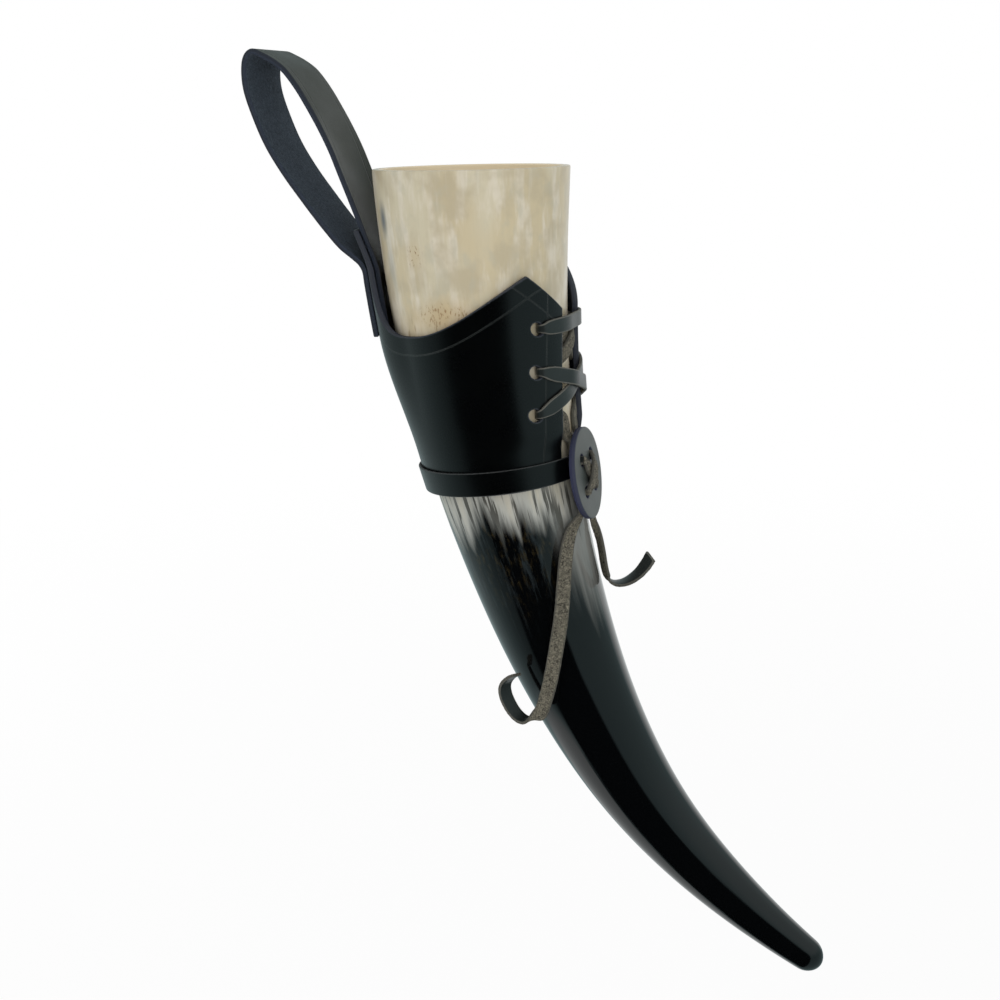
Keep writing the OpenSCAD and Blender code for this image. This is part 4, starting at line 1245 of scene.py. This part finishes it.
def stretched(flow, wide_mm, tall_mm, centre=(0, 0, 0)):
    """The flow measured from a centre in steps of so many mm round the mouth and down."""
    size = np.array([MOUTH_R_MM / wide_mm, MOUTH_R_MM / wide_mm, 1000 / tall_mm])
    inputs = {"Vector": flow, "Scale": size, "Location": -np.array(centre) * size}
    return add(flow.id_data, "Mapping", inputs).outputs[0]


def grown(flow, across_mm, along_mm, detail=3.0, rough=0.5):
    """Noise whose shapes are about so wide across the horn and so long down it."""
    return noise(stretched(flow, across_mm, along_mm), 1.0, detail, rough)


def stain(flow, turn, depth_mm, wide_mm, tall_mm):
    """1 at a place on the skin, fading to 0 at the edge of an oval round it."""
    centre = (np.cos(np.radians(turn)), np.sin(np.radians(turn)), depth_mm / 1000)
    far = vector_calc("LENGTH", "Value", stretched(flow, wide_mm, tall_mm, centre))
    return ramp(far, 1.0, 0.0)


# %% [markdown]
# ## The ivory part
# At the mouth the horn is ivory, clouded by age: beige and olive patches a centimetre or two
# across, whitish bands down the length, rows of tiny brown pits where it was scraped, and two
# blue-grey smears. Each is a thin glaze over the one before.

# %% Group: ivory
ivory_group, start, end = new_group("clouded_ivory", [("Flow", VECTOR, None)],
                                    [("Colour", COLOUR), ("Fine", FLOAT)])
flow = start.outputs["Flow"]
fine = grown(flow, 1.6, 30, 4.0, 0.6)
warm = ramp(grown(flow, 22, 45, 2.0), 0.4, 0.62)
ivory = blend_colours(warm, (0.575, 0.520, 0.375), (0.555, 0.475, 0.310))
# Bands, patches, greys and veins: how each grows, from where to where it shows, how much, its colour
GLAZES = [((8, 34, 4.0, 0.6), (0.46, 0.60), 0.9, (0.660, 0.605, 0.490)),
          ((11, 13, 3.0, 0.5), (0.44, 0.66), 0.8, (0.465, 0.400, 0.270)),
          ((6, 9, 3.0, 0.5), (0.52, 0.72), 0.5, (0.455, 0.430, 0.330)),
          ((3.5, 30, 3.0, 0.6), (0.54, 0.72), 0.35, (0.650, 0.610, 0.510))]
for growth, shown, most, colour in GLAZES:
    ivory = blend_colours(ramp(grown(flow, *growth), *shown, 0.0, most), ivory, colour)
ivory = blend_colours(ramp(fine, 0.35, 0.68, 0.0, 0.2), ivory, (0.48, 0.42, 0.29))
pits = ramp(grown(flow, 0.9, 1.8, 2.0, 0.6), 0.56, 0.66)
streaks = ramp(grown(flow, 1.0, 8, 3.0, 0.6), 0.54, 0.68, 0.0, 0.8)
# Scraped spots: turn in degrees, depth, width and height in mm, and what shows there
SPOTS = [(-110, 31, 6, 6, pits), (-97, 53, 15, 6, pits), (-88, 55, 17, 7, pits),
         (-92, 57, 17, 8, streaks), (-120, 62, 9, 12, streaks), (60, 35, 16, 12, pits),
         (150, 60, 20, 10, streaks)]
for turn, depth_mm, wide_mm, tall_mm, look in SPOTS:
    around = stain(flow, turn, depth_mm, wide_mm * 1.3, tall_mm * 1.5)
    ivory = blend_colours(times(around, 0.4), ivory, (0.50, 0.38, 0.21))
    spot = times(stain(flow, turn, depth_mm, wide_mm, tall_mm), look)
    ivory = blend_colours(times(spot, 1.2), ivory, (0.22, 0.12, 0.05))
for turn, depth_mm, tall_mm, share in ((-137, 18, 9, 0.85), (-133, 34, 12, 0.3)):
    smear = times(stain(flow, turn, depth_mm, 4.5, tall_mm), share)
    ivory = blend_colours(smear, ivory, (0.10, 0.125, 0.15))
feed(end.inputs["Colour"], ivory)
feed(end.inputs["Fine"], fine)
print("group", ivory_group.name, "has", len(ivory_group.nodes), "nodes")

# %% [markdown]
# ## The change to black
# Some 14 cm down the ivory turns a smoky grey-white and runs out in soft tongues, longest at the
# front. The black below it isn't quite opaque: near the change it shows umber and blue-grey flecks
# where light gets in. `past` is the distance beyond the change, and every colour there follows it.

# %% From ivory to smoke
tree, shader = new_material("polished_horn", horn)
flow = mark(tree, "flow", "Vector")
places = add(tree, "SeparateXYZ", {0: flow})
front, depth = places.outputs[0], places.outputs[2]
ivory, fine = use(tree, ivory_group, ("Colour", "Fine"), Flow=flow)
tongues = minus(grown(flow, 7, 60, 2.0), 0.5)
threads = minus(grown(flow, 3.2, 40, 3.0, 0.6), 0.5)
change = plus(times(tongues, 0.034), times(threads, 0.018))
change = plus(change, ramp(front, 0.6, 0.97, 0.0, 0.010))
past = minus(minus(depth, CHANGE_DEPTH), change)
smoky = ramp(plus(past, times(threads, 0.05)), -0.040, -0.004)
smoke = blend_colours(smoky, ivory, (0.38, 0.385, 0.35))
streaky = times(ramp(threads, 0.04, 0.10, 0.0, 0.9), ramp(past, -0.030, -0.012))
smoke = blend_colours(streaky, smoke, (0.045, 0.042, 0.033))
smoke = blend_colours(ramp(past, -0.010, 0.0, 0.0, 0.7), smoke, (0.09, 0.095, 0.088))
print("the change lies", CHANGE_DEPTH, "m below the lip")

# %% [markdown]
# ## The black, the hollow and the gloss
# The flecks fade out over 5 cm below the change, and at the front a pale haze stays for as long.
# The hollow's skin is dull and warm, with a painted glow near the lip where its wall lies in shade,
# fading over 6 cm, and it is dark from 20 cm down. Black horn takes a high polish and ivory a
# softer one, and both keep a trace of the fibres.

# %% Colour the black and the hollow
umber = times(ramp(grown(flow, 2.6, 6, 5.0, 0.7), 0.5, 0.7), ramp(past, 0.045, 0.0))
blue = times(ramp(grown(flow, 4, 22, 4.0, 0.65), 0.5, 0.7), ramp(past, 0.055, 0.006))
haze = times(ramp(front, 0.62, 0.9), ramp(past, 0.045, 0.004))
black = blend_colours(blue, (0.0012, 0.0015, 0.0018), (0.020, 0.027, 0.029))
black = blend_colours(times(umber, 0.85), black, (0.032, 0.024, 0.009))
black = blend_colours(haze, black, (0.20, 0.205, 0.19))
dark = ramp(past, -0.004, 0.006)
# Painted light: the lining is paler than the outer ivory near the lip, fading 6 cm further in
lining_painted_glow = blend_colours(ramp(depth, 0.01, 0.06), (0.80, 0.68, 0.47), (0.56, 0.48, 0.34))
lining_painted_glow = blend_colours(ramp(depth, 0.06, 0.20), lining_painted_glow, (0.05, 0.04, 0.03))
in_hollow = ramp(mark(tree, "inside"), 0.4, 0.6)
colour = blend_colours(in_hollow, blend_colours(dark, smoke, black), lining_painted_glow)
gloss = plus(ramp(dark, 0.0, 1.0, 0.28, 0.04), times(fine, 0.07))
fibres = bump(plus(fine, times(tongues, 2.0)), 0.00003, Strength=0.6)
for name, value in (("Base Color", colour), ("Roughness", gloss), ("Normal", fibres), ("IOR", 1.54)):
    feed(shader.inputs[name], value)
print("the horn's material has", len(tree.nodes), "nodes")

# %% [markdown]
# ## Brass
# The rivets are plain brass that has dulled with handling: warm metal, with a faint mottle in its
# colour and gloss.

# %% Colour the rivets
tree, shader = new_material("handled_brass", rivet_caps)
place = add(tree, "TexCoord").outputs["Object"]
tarnish = noise(place, 900.0, 4.0, 0.6)
colour = blend_colours(ramp(tarnish, 0.35, 0.7), (0.62, 0.45, 0.19), (0.42, 0.29, 0.12))
feed(shader.inputs["Base Color"], colour)
feed(shader.inputs["Roughness"], ramp(tarnish, 0.3, 0.7, 0.22, 0.4))
feed(shader.inputs["Metallic"], 1)
rivet_posts.data.materials.append(rivet_caps.data.materials[0])
print("brass on", rivet_caps.name, "and", rivet_posts.name)

# %% [markdown]
# ## Floor and world
# The object hangs by its loop above a pale floor. The world and the floor look white to the
# camera, in reflections and through glass, and the floor turns into the world's white further out,
# so no horizon shows. Close to the object it stays a real surface and takes the shadow.

# %% Floor and world
FLOOR_DROP, FLOOR_HALF = 0.32, 9


def seen_directly(tree):
    """1 for camera, glossy and transmission rays, 0 for the others."""
    path = add(tree, "LightPath")
    kinds = [path.outputs[f"Is {kind} Ray"] for kind in ("Camera", "Glossy", "Transmission")]
    return highest(*kinds)


def stage_mesh(name, points, faces):
    """A stage piece from points and blocks of faces; returns it and its material's node tree."""
    mesh = bpy.data.meshes.new(name)
    mesh.from_pydata([tuple(p) for p in points], [], [f for block in faces for f in block.tolist()])
    piece = bpy.data.objects.new(name, mesh)
    bpy.context.scene.collection.objects.link(piece)
    return piece, empty_material(name, mesh)


def from_centre(tree, centre):
    """The place on a stage piece, measured from a centre."""
    place = add(tree, "TexCoord").outputs["Object"]
    return vector_calc("SUBTRACT", "Vector", place, centre)


world = bpy.data.worlds.new("studio")
bpy.context.scene.world = world
world.use_nodes = True
tree = world.node_tree
tree.nodes.clear()
strength = ramp(seen_directly(tree), 0.0, 1.0, 0.68, 1.0)
background = add(tree, "Background", {"Color": (1, 1, 1, 1), "Strength": strength})
add(tree, "OutputWorld", {"Surface": background.outputs[0]})

middle = np.mean(cad_box, axis=0)
low_z = float(cad_box[0][2]) - FLOOR_DROP
corners = [(x * FLOOR_HALF, y * FLOOR_HALF, low_z) for x, y in ((-1, -1), (1, -1), (1, 1), (-1, 1))]
floor, tree = stage_mesh("studio_floor", corners, [np.arange(4)[None]])
place = from_centre(tree, (middle[0], middle[1], low_z))
paper = ramp(vector_calc("LENGTH", "Value", place), 0.5, 2.2, 0.90, 1.0)
matt = add(tree, "BsdfDiffuse", {"Color": (0.9, 0.9, 0.9, 1)})
white = add(tree, "Emission", {"Color": (1, 1, 1, 1), "Strength": 1.0})
share = times(seen_directly(tree), paper)
both = add(tree, "MixShader", {0: share, 1: matt.outputs[0], 2: white.outputs[0]})
add(tree, "OutputMaterial", {"Surface": both.outputs[0]})
print("floor at", round(low_z, 3), "m")

# %% [markdown]
# ## What the black surfaces mirror
# Polished black horn mirrors the room, not the white backdrop. A dome that only reflections see
# stands for the room: dark on the camera's side, a wide pale wall on the right, a softer one far
# round on the left that is brightest near the floor, and a bright patch behind the object. Its
# underside lies just above the floor. Each wall has a level direction, and how far a place lies
# towards it says how bright the wall is there.

# %% The room in the reflections
DOME_R, DOME_COLS, DOME_ROWS, OVER_FLOOR, DARK = 2.6, 64, 31, 0.004, 0.004
around = np.radians(np.arange(DOME_COLS) * 360 / DOME_COLS)
rise = np.radians(np.linspace(-90, 90, DOME_ROWS + 2)[1:-1])[:, None]
dome_points = np.stack(np.broadcast_arrays(np.cos(rise) * np.cos(around), np.cos(rise) * np.sin(around),
                                           np.sin(rise)), -1).reshape(-1, 3)
dome_points = np.concatenate([dome_points, [[0, 0, -1], [0, 0, 1]]]) * DOME_R + middle
dome_points[:, 2] = np.maximum(dome_points[:, 2], low_z + OVER_FLOOR)
dome, tree = stage_mesh("reflected_room", dome_points, tube_faces(DOME_ROWS, DOME_COLS))
place = vector_calc("NORMALIZE", "Vector", from_centre(tree, middle))


def wall_side(degrees_right):
    """How far a place lies towards a level direction, so many degrees round from the camera's."""
    k = np.radians(degrees_right)
    way = -np.cos(k) * np.array([ahead[0], ahead[1], 0]) / np.cos(PITCH) + np.sin(k) * level
    return vector_calc("DOT_PRODUCT", "Value", place, way)


height = add(tree, "SeparateXYZ", {0: place}).outputs[2]
pale = times(ramp(wall_side(112), -0.02, 0.07), ramp(height, -0.15, 0.4, 0.37, 0.62))
left = wall_side(-140)
low = highest(ramp(left, 0.0, 0.9, 0.20, 0.54), ramp(height, -0.66, -0.80, 0.0, 0.85))
soft = times(ramp(left, -0.02, 0.06), low)
behind = ramp(wall_side(155), 0.66, 0.97)
glow = highest(pale, soft, behind, DARK)
tint = blend_colours(ramp(glow, 0.35, 0.9), (0.72, 0.98, 1.0), (0.96, 1.0, 1.0))
shine = add(tree, "Emission", {"Color": tint, "Strength": glow})
add(tree, "OutputMaterial", {"Surface": shine.outputs[0]})
for kind in ("camera", "diffuse", "shadow", "transmission"):
    setattr(dome, "visible_" + kind, False)
print("dome of", DOME_R, "m round", middle.round(3))

# %% [markdown]
# ## Lamps
# Three broad lamps shape the ivory and the leather a little: a high one on the left in front, a
# low one on the right in front and a tall one behind on the left. Reflections don't see them, as
# the dome gives those.

# %% Lamps
def lamp(name, place, width, height, power):
    """A rectangular lamp at place, turned to the object."""
    data = bpy.data.lights.new(name, "AREA")
    data.shape, data.size, data.size_y, data.energy = "RECTANGLE", width, height, power
    back = unit(np.array(place) - middle)
    side = unit(np.cross([0, 0, 1], back))
    made = put(name, data, place, [side, np.cross(back, side), back])
    made.visible_camera = made.visible_glossy = False


lamp("key", (-0.8, -1.5, 1.3), 1.2, 1.2, 5.5)
lamp("window", (1.0, -1.5, 0.2), 0.7, 1.2, 9)
lamp("rim", (-1.3, 0.7, 0.3), 0.6, 1.8, 5)
bpy.context.scene.view_settings.view_transform = "Standard"
